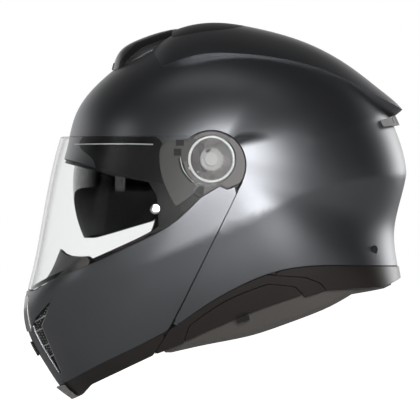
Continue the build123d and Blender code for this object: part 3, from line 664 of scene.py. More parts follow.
def prism(outline, low, high, edge=0.35):
    """Block of a side-view outline between two distances out, in millimetres, its outer edge
    drawn in by a narrow slope. A distance may be given for each corner."""
    corners = side_place(np.asarray(outline, float))
    middle = corners.mean(axis=0)
    away = corners - middle
    size = np.linalg.norm(away, axis=1, keepdims=True)
    rings = []
    for out, inward in ((low, 0.0), (np.asarray(high) - edge, 0.0), (high, edge)):
        flat = middle + away * (1 - inward * MM / np.maximum(size, inward * MM * 1.01))
        side = -np.broadcast_to(np.asarray(out, float) * MM, len(flat))
        rings.append(np.stack([flat[:, 0], side, flat[:, 1]], axis=-1))
    return ringed(rings)


def bar(start, end, width, low, high):
    """Prism of a straight bar between two pixels, with rounded ends."""
    start, end = np.asarray(start, float), np.asarray(end, float)
    way = (end - start) / np.linalg.norm(end - start)
    across = np.array([-way[1], way[0]])
    turn = np.linspace(-math.pi / 2, math.pi / 2, 5)[:, None]
    tip = end + width / 2 * (way * np.cos(turn) + across * np.sin(turn))
    root = start + width / 2 * (-way * np.cos(turn) - across * np.sin(turn))
    return prism(np.vstack([tip, root]), low, high, edge=min(0.2, width * 0.25))


def bead(line, form, inset, width, height):
    """Half-round bead along a side-view line, lying on a form: eight points round each section."""
    line = np.asarray(line, float)
    along = np.gradient(line, axis=0)
    along /= np.linalg.norm(along, axis=1, keepdims=True)
    across = np.stack([-along[:, 1], along[:, 0]], axis=-1)
    rings = []
    for turn in np.arange(8) * math.pi / 4:
        pixels = line + across * width / 2 * math.cos(turn)
        side = side_on(pixels, form, inset) + height * math.sin(turn)
        flat = side_place(pixels)
        rings.append(np.stack([flat[:, 0], -side, flat[:, 1]], axis=-1))
    return ringed(np.stack(rings, axis=1))


def both_sides(body):
    """The body and its mirror image as one."""
    return joined(body, mirrored(*body))


def hands(body):
    """The body by name for each of the rider's hands."""
    return ("left", body), ("right", mirrored(*body))


# Hinge pockets: a moulded cup bonded into the skin on each side, with a flat floor for the hinge and
# a wall that rises to the paint.
CUP_WALL, CUP_FLOOR, CUP_BACK, CUP_LIP, CUP_UNDER = 0.0035, 0.1179, 0.1144, 0.1221, 0.0015
cup_turn = np.linspace(0, 2 * math.pi, 180, endpoint=False)
cup_way = np.stack([np.cos(cup_turn), -np.sin(cup_turn)], axis=-1)
cup_rim = np.asarray(POCKET_PIXEL) + cup_way * (POCKET_RADIUS + CUP_WALL / 2) / PIXEL
in_skin = within(skin_outline)(cup_rim, 0) > 0
cup_top = np.where(in_skin, side_on(cup_rim, SHELL_FORM) - CUP_UNDER,
                   np.minimum(CUP_LIP, side_on(cup_rim, FACE_FORM, STEP_DEPTH)))
CUP_OUTER, CUP_BEVEL, POLE_RADIUS = POCKET_RADIUS + CUP_WALL, 0.0006, 0.0005
middle = side_place(POCKET_PIXEL)
cup_rings = []
for radius, out in ((POLE_RADIUS, CUP_BACK), (CUP_OUTER, CUP_BACK), (CUP_OUTER, cup_top - MM),
                    (CUP_OUTER - MM, cup_top), (POCKET_RADIUS + CUP_BEVEL, cup_top),
                    (POCKET_RADIUS, cup_top - CUP_BEVEL), (POCKET_RADIUS, CUP_FLOOR),
                    (POLE_RADIUS, CUP_FLOOR)):
    cup_rings.append(np.stack([middle[0] + radius * np.cos(cup_turn), np.broadcast_to(-out, len(cup_turn)),
                               middle[1] + radius * np.sin(cup_turn)], axis=-1))
cup = ringed(cup_rings)
bare_black = finish_material("bare_black", (0.012, 0.012, 0.012), 0.42, scale=900, bump=0.08)
skin_zone = both(within(skin_outline), outside(pocket_hole))
shell_paint = lay_mesh("shell_paint", *panel(shell_surface, skin_zone, SHELL_WALL), paint)
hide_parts("outer_shell")
step_zone = both(within(step_outline), outside(pocket_hole))
shell_flange = lay_mesh("shell_flange", *panel(step_surface, step_zone, STEP_WALL), bare_black)
pocket_cups = lay_mesh("pocket_cups", *both_sides(cup), bare_black)
for piece in (shell_paint, shell_flange, pocket_cups):
    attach(piece, "shell")

# Brow band: a thin black sheet over the skin where the visor covers it, ahead of the side plates,
# so that the paint ends under the visor's top edge. Its black is partly the eye port's rubber trim
# and partly painted shade, which stands in for the shadow under the brow.
BROW_PROUD, BROW_WALL = 0.0003, 0.001
BROW_TRIM_AND_SHADE_OUTLINE = closed_runs([(97, 168.2), (93.5, 159), (84, 151), (80.5, 144), (84, 138)],
                        [(158, 138), (164, 146), (168, 160), (171, 176)], (166, 186), (119, 173.4))
brow_surface = helmet_form(SHELL_FORM, -BROW_PROUD, turns=360, leans=141)
# The band's black is partly real trim and partly painted shade under the brow.
brow_trim_and_shade = lay_mesh("brow_trim_and_shade", *panel(brow_surface, within(BROW_TRIM_AND_SHADE_OUTLINE), BROW_WALL, 0.3), bare_black)
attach(brow_trim_and_shade, "shell")

# Crown ridge: the raised back of the shell, one moulding with it, over a sharp crease that runs
# from beside the scoop to a small spoiler. Its wall reaches down into the shell.
RIDGE = [(128, 76), (146, 52.5), (165, 35.5), (186, 26.5), (216, 22.8), (255, 28), (309, 44), (352, 68),
         (383, 92), (403, 110.5), (414, 140), (396, 200), (340, 260), (211, 290), (110, 240), (96, 150)]
RIDGE_FORM = {"table": reach_table(RIDGE), "low_half": CROWN_HALF}
CREASE = [(162, 68), (181, 61), (202, 55.7), (232, 54.7), (275, 59), (326, 72), (366, 91), (404, 110.5)]
RIDGE_SINK, RIDGE_WALLS = 0.001, (0.001, 0.016)
NOTCH_HALF, NOTCH_REAR = 0.038, 177.5
ridge_outline = closed_runs(CREASE, (FAR_RIGHT, 112), (FAR_RIGHT, FAR_UP), (150, FAR_UP), (150, 74))
notch = both(inboard(NOTCH_HALF), lambda pixels, side: NOTCH_REAR - pixels[:, 0])


def proud_of(form, inset=0.0):
    """Zone test: outside a form's surface."""
    def depth(pixels, side):
        place = side_place(pixels) - HINGE
        turn = np.arctan2(place[:, 1], place[:, 0])
        return (np.hypot(place[:, 0], place[:, 1]) - form_reach(turn, side, inset=inset, **form)) / PIXEL
    return depth


ridge_zone = both(within(ridge_outline), outside(notch), proud_of(SHELL_FORM, RIDGE_SINK))
ridge_sheet = trimmed(helmet_form(RIDGE_FORM, turns=420, leans=141), ridge_zone)
ridge_height = proud_of(SHELL_FORM)(side_pixel(ridge_sheet[0]), ridge_sheet[0][:, 1]) * PIXEL
ridge_wall = np.clip(ridge_height + RIDGE_SINK, *RIDGE_WALLS)
crown_ridge = lay_mesh("crown_ridge", *thickened(*ridge_sheet, ridge_wall, 0.05), paint)
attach(crown_ridge, "shell")

# Crown scoop: a painted moulding clipped on the shell. A grey shutter with a knob closes the mouth at
# its front, and a dark channel runs along each flank and back over the crown.
SCOOP = [(109, 92), (111, 78), (114, 64), (120, 51.5), (138, 40), (169, 30.2), (205, 28),
         (240, 36), (272, 62), (284, 120), (250, 188), (180, 200), (132, 150)]
SCOOP_HALF = 0.058
SCOOP_FORM = {"table": reach_table(SCOOP), "low_half": SCOOP_HALF, "full_half": SCOOP_HALF,
              "powers": (3.0, 2.6)}
SCOOP_WALL, SCOOP_CLEAR = 0.003, 0.0004
MOUTH_HALF = 0.038
scoop_outline = straight([(96, 97), (96, 15), (177, 15), (177, 60), (128, 102)])
mouth = both(within(straight([(96, 80), (96, 63), (114, 63), (113, 76)])), inboard(MOUTH_HALF))
scoop_zone = both(within(scoop_outline), outside(mouth), proud_of(SHELL_FORM, -SCOOP_CLEAR))
scoop_surface = helmet_form(SCOOP_FORM, turns=420, leans=141)
crown_scoop = lay_mesh("crown_scoop", *panel(scoop_surface, scoop_zone, SCOOP_WALL, 0.3), paint)
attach(crown_scoop, "shell")
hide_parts("top_vent")
dark_plastic = finish_material("dark_plastic", (0.012, 0.012, 0.012), 0.45, scale=900, bump=0.1)
shutter_grey = finish_material("shutter_grey", (0.3, 0.3, 0.3), 0.4, scale=1400, tone=0.2, bump=0.05)
CHANNEL = straight([(110.6, 80), (116.6, 79), (120.5, 61), (136, 43.5), (168, 31.5), (178, 15), (250, 15),
                    (250, 25.2), (232, 28.6), (200, 33.2), (168, 38.4), (141, 49), (127, 62), (118, 86.5),
                    (110.6, 86.5)])
CHANNEL_INNER_HALF, CHANNEL_PROUD, CHANNEL_WALL = 0.012, 0.0002, 0.0008
RIDGE_FRONT = 172
channel_zone = both(within(CHANNEL), outside(inboard(CHANNEL_INNER_HALF)))
channel_parts = []
for form, zone in ((SCOOP_FORM, both(lambda pixels, side: RIDGE_FRONT - pixels[:, 0], proud_of(SHELL_FORM))),
                   (RIDGE_FORM, lambda pixels, side: pixels[:, 0] - RIDGE_FRONT)):
    channel_surface = helmet_form(form, -CHANNEL_PROUD, turns=420, leans=141)
    channel_parts.append(panel(channel_surface, both(channel_zone, zone), CHANNEL_WALL))
scoop_inlets = lay_mesh("scoop_inlets", *joined(*channel_parts), dark_plastic)
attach(scoop_inlets, "shell")
SHUTTER_INSET, SHUTTER_WALL = 0.0008, 0.0014
shutter_surface = helmet_form(SCOOP_FORM, SHUTTER_INSET, turns=420, leans=141)
scoop_shutter = lay_mesh("scoop_shutter", *panel(shutter_surface, mouth, SHUTTER_WALL, 0.3), shutter_grey)
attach(scoop_shutter, "shell")
KNOB_HALF, KNOB_PROUD, KNOB_WALL = 0.012, 0.0008, 0.0014
knob_zone = both(within(straight([(96, 69.5), (96, 63.5), (122, 63.5), (122, 69.5)])), inboard(KNOB_HALF))
knob_surface = helmet_form(SCOOP_FORM, -KNOB_PROUD, turns=900, leans=401)
shutter_knob = lay_mesh("scoop_shutter_knob", *panel(knob_surface, knob_zone, KNOB_WALL), dark_plastic)
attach(shutter_knob, "top_vent_slider")
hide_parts("top_vent_slider")

# Chin bar: a second painted skin that laps over the shell's flange, flush with it at the seam,
# open at each side of the chin for the air inlets.
CHIN_WALL = 0.003
CHIN_EDGE = [(35, 291), (50.6, 281.5), (80, 269), (114, 254), (145, 239.5), (170, 226), (201, 198)]
CHIN_LOW = [(166, 330), (140, 343.5), (100, 363), (65, 382.5)]
chin_outline = closed_runs((FAR_LEFT, 292.5), CHIN_EDGE, (219.5, 187), (227.5, 190.5), (240.6, 184.6),
                           (183.3, 299.7), (169, 327), CHIN_LOW, (FAR_LEFT, 424))
VENT_NEAR = 0.036
VENT = [(54, 296.5), (35.5, 317), (32, 327), (56, 373), (63, 373.5), (43, 325), (46.5, 317)]
vent_hole = both(within(straight(VENT)), outside(inboard(VENT_NEAR)))
face_surface = helmet_form(FACE_FORM, relief=shell_relief)
chin_zone = both(within(chin_outline), outside(vent_hole))
chin_paint = lay_mesh("chin_bar_paint", *panel(face_surface, chin_zone, CHIN_WALL), paint)
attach(chin_paint, "chin_bar")
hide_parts("chin_bar")

# Chin air inlets: a dark plate with fine honeycomb studs behind each opening, pale ribs across
# it and a pale frame round it.
pale_plastic = finish_material("pale_plastic", (0.5, 0.5, 0.49), 0.34, scale=1500, tone=0.2, bump=0.05,
                               Metallic=0.2, Coat_Weight=0.3)
mesh_black = finish_material("mesh_black", (0.02, 0.02, 0.021), 0.5, scale=900, bump=0.1)
MESH = [(53, 300), (37, 318), (33.5, 327), (57, 371.5), (61.5, 371.8), (42.3, 325), (45.5, 316.5)]
mesh_zone = both(within(straight(MESH)), outside(inboard(VENT_NEAR + MM)))
plain_face = helmet_form(FACE_FORM)
RIB_PIXELS, RIB_WAY = [(40.5, 318.5), (38.4, 330.5), (46.5, 344.5), (52, 355.5)], (12, 7)
STUD_PITCH, STUD_SIZE, STUD_ROOT, STUD_MIDDLE, STUD_TOP = 2.7, 0.62, 0.003, 0.0022, 0.0018
STUD_START, STUD_ROWS, STUD_COLUMNS, ROW_SHARE = (31, 299), 28, 14, 0.98
PLATE_DEPTH, PLATE_SHEET = 0.0026, 0.001
FRAME_INSET, FRAME_WIDTH, FRAME_HEIGHT = 0.0004, 1.0, 0.0007
BAR_INSET, BAR_WIDTH, BAR_HEIGHT = 0.0012, 1.5, 0.0009


def studs():
    """Six-sided studs on the inlet's plate, in rows of which every second is moved half a pitch."""
    row, step = np.mgrid[0:STUD_ROWS, 0:STUD_COLUMNS]
    spots = np.stack([STUD_START[0] + (step + 0.5 * (row % 2)) * STUD_PITCH,
                      STUD_START[1] + row * STUD_PITCH * ROW_SHARE], axis=-1).reshape(-1, 2)
    side = side_on(spots, FACE_FORM, STUD_MIDDLE)
    good = (within(straight(MESH))(spots, 0) > 0.8) & (side > VENT_NEAR + 2 * MM)
    turn = np.arange(6) * math.pi / 3
    bodies = []
    for spot in spots[good]:
        corners = spot + STUD_SIZE * np.stack([np.cos(turn), np.sin(turn)], axis=-1)
        bodies.append(prism(corners, side_on(corners, FACE_FORM, STUD_ROOT) / MM,
                            side_on(corners, FACE_FORM, STUD_TOP) / MM, edge=0.1))
    return joined(*bodies)


def cut_line(start, end, count=14):
    """Evenly spaced points between two pixels."""
    return np.linspace(start, end, count)


vent_frame = joined(*[bead(cut_line(start, end), FACE_FORM, FRAME_INSET, FRAME_WIDTH, FRAME_HEIGHT)
                      for start, end in straight(VENT)])
ribs = []
for x, y in RIB_PIXELS:
    line = cut_line((x - RIB_WAY[0], y + RIB_WAY[1]), (x + RIB_WAY[0], y - RIB_WAY[1]), 40)
    line = line[(within(straight(VENT))(line, 0) > -0.5) & (side_on(line, FACE_FORM) > VENT_NEAR)]
    if len(line) > 3:
        ribs.append(bead(line, FACE_FORM, BAR_INSET, BAR_WIDTH, BAR_HEIGHT))
vent_surface = helmet_form(FACE_FORM, PLATE_DEPTH)
plates = lay_mesh("chin_vent_plates", *panel(vent_surface, mesh_zone, PLATE_SHEET), mesh_black)
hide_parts("left_chin_vent_mesh", "right_chin_vent_mesh")
dots = lay_mesh("chin_vent_studs", *both_sides(studs()), pale_plastic, smooth=False)
frames = lay_mesh("chin_vent_frames", *both_sides(joined(vent_frame, *ribs)), pale_plastic)
for piece, slot_name in ((plates, "mesh_metal"), (dots, "mesh_metal"), (frames, "dark_trim")):
    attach(piece, "chin_bar")

# Chin cover: a pale moulded panel that clips over the inlet at the middle of the chin, a little
# proud of the paint.
COVER_PROUD, COVER_GAP, COVER_HALF = 0.0014, 0.00035, 0.033
cover_outline = closed_runs((FAR_LEFT, 297), (29.5, 295.5), [(36, 297), (30, 321), (34, 331)],
                            (FAR_LEFT, 333))
cover_surface = helmet_form(FACE_FORM, -COVER_PROUD)
cover_zone = both(within(cover_outline), inboard(COVER_HALF))
chin_cover = lay_mesh("chin_cover", *panel(cover_surface, cover_zone, COVER_PROUD - COVER_GAP), pale_plastic)
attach(chin_cover, "chin_bar")
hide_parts("chin_vent_cover")

# Visor: one clear polycarbonate moulding with round ears that turn on the hinges, and a pale bead
# along the inside of its top edge.
VISOR_WALL = 0.0022
VISOR_TOP = 137.4
VISOR_LOW = [(201, 196.4), (170, 224.2), (145, 237.8), (114, 252.2), (80, 267.2), (50.6, 279.8),
             (35, 289)]
visor_outline = closed_runs((FAR_LEFT, VISOR_TOP), (205, VISOR_TOP), (218.6, 181.8), (216.4, 185.7),
                            VISOR_LOW, (FAR_LEFT, 290.6))
EAR_RADIUS, BUSH_RADIUS = 0.0198, 0.006
GLASS_EDGE_SHADE_SPAN = (0.72, 0.97)


def clear_material(name, color, roughness, ior=1.49, edge_shade_color=None):
    """Clear plastic: light goes through a wall of the tint, and its faces keep their gloss. With an
    edge shade colour, the tint is painted darker towards it where the wall is seen edge-on: painted
    shade that stands in for the dark lines along a clear wall's edges."""
    material = bpy.data.materials.new(name)
    material.use_nodes = True
    shader = material.node_tree.nodes["Principled BSDF"]
    shader.inputs["Base Color"].default_value = (*color, 1)
    shader.inputs["Roughness"].default_value = roughness
    shader.inputs["Transmission Weight"].default_value = 1.0
    shader.inputs["IOR"].default_value = ior
    if edge_shade_color is not None:
        tree = material.node_tree
        turned = tree.nodes.new("ShaderNodeLayerWeight")
        mix = tree.nodes.new("ShaderNodeMix")
        mix.data_type = "RGBA"
        mix.inputs["A"].default_value = (*color, 1)
        mix.inputs["B"].default_value = (*edge_shade_color, 1)
        tree.links.new(smooth_step(tree, turned.outputs["Facing"], GLASS_EDGE_SHADE_SPAN, (0.0, 1.0)),
                       mix.inputs["Factor"])
        tree.links.new(mix.outputs["Result"], shader.inputs["Base Color"])
    return material


# The visor's glass colour is painted darker where it is seen edge-on: painted shade along its edges.
clear = clear_material("clear_visor", (0.93, 0.935, 0.935), 0.02, ior=1.09, edge_shade_color=(0.3, 0.3, 0.3))
visor_zone = both(either(within(visor_outline), round_zone(HINGE_PIXEL, EAR_RADIUS)),
                  outside(round_zone(HINGE_PIXEL, BUSH_RADIUS)))
visor_glass = lay_mesh("visor_glass", *panel(plain_face, visor_zone, VISOR_WALL), clear)
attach(visor_glass, "visor")
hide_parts("visor")
pale_edge = finish_material("pale_edge", (0.75, 0.76, 0.76), 0.2, tone=0.1, Coat_Weight=0.5)
TOP_LINE = curve_through([(76, 145), (100, 144.8), (128, 144.9), (154, 145.4)], count=50)
RAIL_INSET, RAIL_WIDTH, RAIL_HEIGHT = 0.0026, 1.3, 0.0006
visor_rail = bead(TOP_LINE, FACE_FORM, RAIL_INSET, RAIL_WIDTH, RAIL_HEIGHT)
visor_rails = lay_mesh("visor_rails", *both_sides(visor_rail), pale_edge)
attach(visor_rails, "visor")

# Lens pins: turned steel studs with a dished head, pressed through the visor on each side, which hold
# an insert against fog.
PIN_PIXEL = (156, 209)
pin_out = float(side_on(np.array(PIN_PIXEL, float), FACE_FORM)) / MM
bright_metal = finish_material("bright_metal", (0.78, 0.78, 0.79), 0.22, tone=0.1, Metallic=1.0)
PIN_PROFILE = [(0.1, -5), (3.45, -5), (3.45, 0.1), (4.1, 0.3), (4.2, 0.8), (3.6, 1.4), (2.2, 1.6), (2.0, 1.2),
               (0.1, 1.2)]
lens_pin = lathe(PIN_PIXEL, [(radius, pin_out + rise) for radius, rise in PIN_PROFILE], turns=48)
for name, body in hands(lens_pin):
    pin = lay_mesh(name + "_pin_stud", *body, bright_metal)
    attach(pin, "visor")
    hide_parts(name + "_lens_pin")

# Sun visor: a dark polycarbonate lens, a body of revolution about its own pins, so that it swings up
# into the slot between the shell and the foam.
SUN_PIXEL = (200.0, 185.0)
SUN_RADIUS, SUN_HALF, SUN_WALL = 0.107, 0.111, 0.0022
SUN_AXIS = side_place(SUN_PIXEL)
sun_outline = closed_runs((FAR_LEFT, 147), (118, 147), (168, 160), [(200, 172), (213, 185), (200, 198)],
                          [(200, 198), (184, 197), (152, 221)], (95, 237.5), (FAR_LEFT, 239))


def turned_form(radius, half, turns=240, leans=121):
    """Body of revolution about the sun visor's axis, its section the helmet's superellipse."""
    turn = np.linspace(0, 2 * math.pi, turns, endpoint=False)[:, None]
    lean = np.linspace(-math.pi / 2, math.pi / 2, leans)[None, :]
    side = half * np.sin(lean)
    reach = radius * section_share(side, half)
    place = np.stack([SUN_AXIS[0] + reach * np.cos(turn), np.broadcast_to(side, (turns, leans)),
                      SUN_AXIS[1] + reach * np.sin(turn)], axis=-1)
    normal = grid_normal(place)
    if normal[0, leans // 2, 0] < 0:
        normal[:, 1:-1] *= -1
    return grid_surface(place, normal)


tinted = clear_material("sun_tint", (0.004, 0.005, 0.012), 0.03)
sun_surface = turned_form(SUN_RADIUS, SUN_HALF)
sun_lens = lay_mesh("sun_lens", *panel(sun_surface, within(sun_outline), SUN_WALL), tinted)
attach(sun_lens, "sun_visor")
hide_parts("sun_visor")

# Side plates: a warm grey nylon moulding on the shell behind each end of the visor, with two black
# teeth and a crescent slot, in which the white wire of the visor's spring runs.
PLATE_INSET, PLATE_WALL = 0.0038, 0.002
PLATE = [(160.4, 154), (163.7, 144.8), (176, 141.6), (196, 140.4), (205, 150), (200, 165), (203, 182),
         (190, 197), (176, 206), (168, 190), (161.5, 170)]
plate_outline = [PLATE[:3], PLATE[2:4], PLATE[3:5], PLATE[4:7], PLATE[6:9], PLATE[8:] + PLATE[:1]]
hinge_grey = finish_material("hinge_grey", (0.1, 0.096, 0.092), 0.5, scale=1200, tone=0.3, bump=0.12)
plate_surface = helmet_form(FACE_FORM, PLATE_INSET)
side_plates = lay_mesh("side_plates", *panel(plate_surface, within(plate_outline), PLATE_WALL), hinge_grey)
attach(side_plates, "shell")


def on_plate(outline, rise, root=0.4):
    """Block of an outline that stands up from the side plate by a rise in millimetres."""
    corners = np.asarray(outline, float)
    face = side_on(corners, FACE_FORM, PLATE_INSET) / MM
    return prism(corners, face - root, face + rise, edge=0.2)


TEETH = [[(174.4, 149.5), (181.8, 149.5), (181.8, 156.5), (174.4, 156.5)],
         [(176.4, 140.8), (184.5, 140.8), (184.5, 146.8), (176.4, 146.8)]]
CRESCENT = curve_through([(180.5, 158.8), (183, 169.6), (193.2, 182.3)], count=24)
SPRING = curve_through([(184.5, 164), (187, 172), (193, 180)], count=16)
SPRING_END = [(187.6, 168), (190, 168), (190, 170.4), (187.6, 170.4)]
TOOTH_RISE, END_RISE = 0.7, 0.3
black_parts = joined(*[on_plate(tooth, TOOTH_RISE) for tooth in TEETH],
                     bead(CRESCENT, FACE_FORM, PLATE_INSET, 3.6, 0.0002),
                     bead(SPRING, FACE_FORM, PLATE_INSET, 3.2, 0.0006))
plate_blacks = lay_mesh("side_plate_slots", *both_sides(black_parts), dark_plastic)
white_line = bead(CRESCENT + (0.4, -0.2), FACE_FORM, PLATE_INSET, 1.1, 0.00035)
spring_parts = joined(white_line, on_plate(SPRING_END, END_RISE))
plate_springs = lay_mesh("visor_springs", *both_sides(spring_parts), pale_edge)
for piece, slot_name in ((plate_blacks, "dark_trim"), (plate_springs, "steel")):
    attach(piece, "shell")

# Visor cams: each ear of the visor turns on a round cam with a bright rim, a grey web with
# ribs and slots, and a light boss that comes up through the ear.
cam_grey = finish_material("cam_web", (0.13, 0.118, 0.118), 0.5, scale=1200, tone=0.25, bump=0.08)
cam_light = finish_material("cam_light", (0.3, 0.3, 0.29), 0.45, scale=1200, tone=0.15, bump=0.05,
                            Coat_Weight=0.3)
CAM_BACK, WEB_FACE, GUIDE_FACE, SLOT_FACE = 120.7, 122.2, 123.8, 122.9
cam_rim = lathe(HINGE_PIXEL, [(17.3, CAM_BACK), (19.4, CAM_BACK), (19.4, 123.5), (18.9, 124.05),
                              (17.9, 124.05), (17.3, 123.4)])
cam_web = lathe(HINGE_PIXEL, [(9.7, CAM_BACK), (17.25, CAM_BACK), (17.25, 122.4), (9.7, 122.4)])
cam_boss = lathe(HINGE_PIXEL, [(0.05, 124.7), (4.2, 124.7), (4.2, 123.1), (8.8, 123.1), (8.8, 120.8),
                               (9.65, 120.8), (9.65, 123.6), (9.2, 124.05), (5.9, 124.1), (5.9, 126.2),
                               (5.5, 126.6), (0.05, 126.6)])
RIB_COUNT, RIB_WIDTH, RIB_BACK, RIB_FACE = 6, 1.1, 122.0, 124.3
rib_bodies = [bar(start, end, RIB_WIDTH, RIB_BACK, RIB_FACE)
              for start, end in zip(cut_line((209.5, 161.6), (221.5, 156.2), RIB_COUNT),
                                    cut_line((214, 173), (233, 163.5), RIB_COUNT))]
TOP_GUIDE = [(198.5, 143), (203, 138.8), (213, 137.8), (223.3, 142), (214, 145.6), (204, 146.2)]
LEFT_GUIDE = [(193.4, 151), (198, 148.8), (199.5, 156), (198.5, 163.5), (194, 162)]
GUIDE_SEATS = ((TOP_GUIDE, 1.18), (LEFT_GUIDE, 1.3))
TOP_SLOT = [(205.6, 151.5), (210.2, 148.6), (211.5, 151), (206.8, 154.3)]
ARC_SLOT = [(197.2, 163.5), (199.6, 163.8), (202, 168.5), (207.4, 171.4), (206, 173.4), (200.4, 170.4)]
PIN_HOLE, HOLE_FACE = (211.9, 177.3), 122.7


def scaled(outline, share):
    """Outline drawn larger about the mean of its corners."""
    middle = np.mean(outline, axis=0)
    return (np.array(outline) - middle) * share + middle


grey_parts = [prism(guide, WEB_FACE, GUIDE_FACE) for guide, _ in GUIDE_SEATS]
dark_parts = [prism(TOP_SLOT, GUIDE_FACE, 124.35), prism(ARC_SLOT, WEB_FACE, SLOT_FACE),
              lathe(PIN_HOLE, [(0.05, WEB_FACE), (1.3, WEB_FACE), (1.3, HOLE_FACE), (0.05, HOLE_FACE)],
                    turns=24)]
dark_parts += [prism(scaled(guide, share), 122.1, SLOT_FACE) for guide, share in GUIDE_SEATS]
bright_bar = bar((208.6, 161), (220.6, 155), 1.8, 123.9, 124.7)
CAM_PIECES = [("cam_rim", [cam_rim], pale_edge, "cam_clear"),
              ("cam_web", [cam_web, *grey_parts], cam_grey, "cam_clear"),
              ("cam_boss", [cam_boss, *rib_bodies, bright_bar], cam_light, "cam_clear"),
              ("cam_slots", dark_parts, dark_plastic, "dark_trim")]
for label, bodies, material, slot_name in CAM_PIECES:
    for name, body in hands(joined(*bodies)):
        piece = lay_mesh(f"{name}_{label}", *body, material, smooth=False)
        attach(piece, "visor")
        if label == "cam_rim":
            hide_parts(name + "_visor_cam")

# Breath deflector: a curved sheet of soft grey plastic that clips on the chin bar's inner edge and
# stands up ahead of the nose.
DEFLECTOR_WALL = 0.0016
DEFLECTOR_FACE = [(49, 274), (60.5, 249), (74, 222), (84, 180)]
DEFLECTOR_FORM = {"table": reach_table(OVER_CROWN + NAPE + UNDER + CHIN + DEFLECTOR_FACE)}
DEFLECTOR = straight([(FAR_LEFT, 249.3), (60.5, 249.3), (64, 253.5), (70, 256), (78, 256.6), (87, 256.4),
                      (91, 260), (89, 266), (60, 279), (FAR_LEFT, 284)])
deflector_surface = helmet_form(DEFLECTOR_FORM, turns=700, leans=171)
deflector_body = panel(deflector_surface, within(DEFLECTOR), DEFLECTOR_WALL)
breath_guard = lay_mesh("breath_guard", *deflector_body, hinge_grey)
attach(breath_guard, "chin_bar")
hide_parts("breath_deflector")

# Lower trims: moulded dark plastic that clips over the shell's and the chin bar's edges, with a
# bay each side that a loose cover closes.
trim_plastic = finish_material("trim_plastic", (0.022, 0.018, 0.016), 0.32, scale=1400, tone=0.35,
                               spread=0.1, bump=0.18, reach=0.0001)
TRIM_OUTER, TRIM_INNER, TRIM_ROLL = 0.0004, 0.0046, 0.35
side_outline = closed_runs([(170.2, 329), (208, 303.4), (238, 286.4), (266, 274.4)], (304, 277), (319, 283),
                           (324, 289.6), [(305.5, 295.5), (253, 311.6), (183, 342), (166, 349)],
                           (155, 353.2))
bay_outline = closed_runs([(189, 324), (226, 299), (267, 282.5)], (294, 285), (303, 294),
                          [(306, 300), (253, 318), (182, 348)], (184, 340))
lid_outline = closed_runs([(190.2, 324.6), (226.6, 300.2), (267.2, 283.7)], (293.3, 286),
                          [(301, 293.6), (253, 310.4), (184.8, 340.2)])
rear_outline = closed_runs([(266.6, 273.8), (297, 267.4), (326, 265.4)], (380, 266.1), (FAR_RIGHT, 268),
                           (403, 276), (383, 286), (340, 288), (325, 289), (320, 282), (304.5, 276))
trim_surface = helmet_form(SHELL_FORM, TRIM_OUTER, turns=720, leans=241)
side_zone, lid_zone = both(within(side_outline), outside(within(bay_outline))), within(lid_outline)
SIDE_PIECES = (("lower_trim", side_zone, "side_trim"), ("bay_lid", lid_zone, "intercom_cover"))
for name, hand in (("left", on_left), ("right", on_right)):
    for label, zone, node in SIDE_PIECES:
        body = panel(trim_surface, both(zone, hand), TRIM_INNER - TRIM_OUTER, TRIM_ROLL)
        piece = lay_mesh(f"{name}_{label}", *body, trim_plastic)
        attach(piece, "shell")
        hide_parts(f"{name}_{node}")
REAR_OUTER, REAR_INNER = -0.0012, 0.004
rear_body = panel(helmet_form(SHELL_FORM, REAR_OUTER), within(rear_outline), REAR_INNER - REAR_OUTER, 0.3)
rear_piece = lay_mesh("rear_edge_trim", *rear_body, trim_plastic)
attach(rear_piece, "shell")
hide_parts("rear_trim")
chin_trim_outline = closed_runs((FAR_LEFT, 424.6), [(65, 383.1), (100, 363.6), (140, 344.1), (168, 330.3)],
                                (153.4, 354), (92, 383.5), (83, 393.5), (73, 398.8), (50, 398.8))
WEDGE = [(56.8, 386.8), (62, 391), (72.5, 398.5), (82.9, 394), (82.9, 383), (70, 381.2), (65, 383.7)]
WEDGE_HALF = 0.03
CHIN_TRIM_INSET, CHIN_TRIM_WALL = 0.0003, 0.0041
wedge_flat = side_place(WEDGE)
wedge_rings = [np.stack([wedge_flat[:, 0], np.full(len(WEDGE), y), wedge_flat[:, 1]], axis=-1)
               for y in (-WEDGE_HALF, WEDGE_HALF)]
chin_trim_surface = helmet_form(FACE_FORM, CHIN_TRIM_INSET)
chin_edge_body = joined(panel(chin_trim_surface, within(chin_trim_outline), CHIN_TRIM_WALL, TRIM_ROLL),
                        ringed(wedge_rings))
chin_edge_trim = lay_mesh("chin_edge_trim", *chin_edge_body, trim_plastic)
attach(chin_edge_trim, "chin_bar")
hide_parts("chin_trim")

# Padding: foam cores in sewn cloth, crowned between their edges. The crown pad and the cheek
# pads snap into the foam, and the roll is sewn round the neck opening.
cloth_pattern, cloth_in, cloth_out = group(
    "cloth", [("Color", "NodeSocketColor", (0.1, 0.1, 0.1, 1)), ("Scale", "NodeSocketFloat", 1500.0)],
    [("Color", "NodeSocketColor"), ("Height", "NodeSocketFloat")])
spot = cloth_pattern.nodes.new("ShaderNodeTexCoord")
waves = []
for direction in ("X", "Z"):
    wave = cloth_pattern.nodes.new("ShaderNodeTexWave")
    wave.bands_direction = direction
    wave.inputs["Distortion"].default_value = 1.5
    wave.inputs["Detail"].default_value = 1.0
    cloth_pattern.links.new(spot.outputs["Object"], wave.inputs["Vector"])
    cloth_pattern.links.new(cloth_in.outputs["Scale"], wave.inputs["Scale"])
    waves.append(wave.outputs["Fac"])
yarn = math_node(cloth_pattern, "MULTIPLY", waves[0], waves[1])
shade = math_node(cloth_pattern, "ADD", math_node(cloth_pattern, "MULTIPLY", yarn, 0.6), 0.7)
dye = cloth_pattern.nodes.new("ShaderNodeVectorMath")
dye.operation = "SCALE"
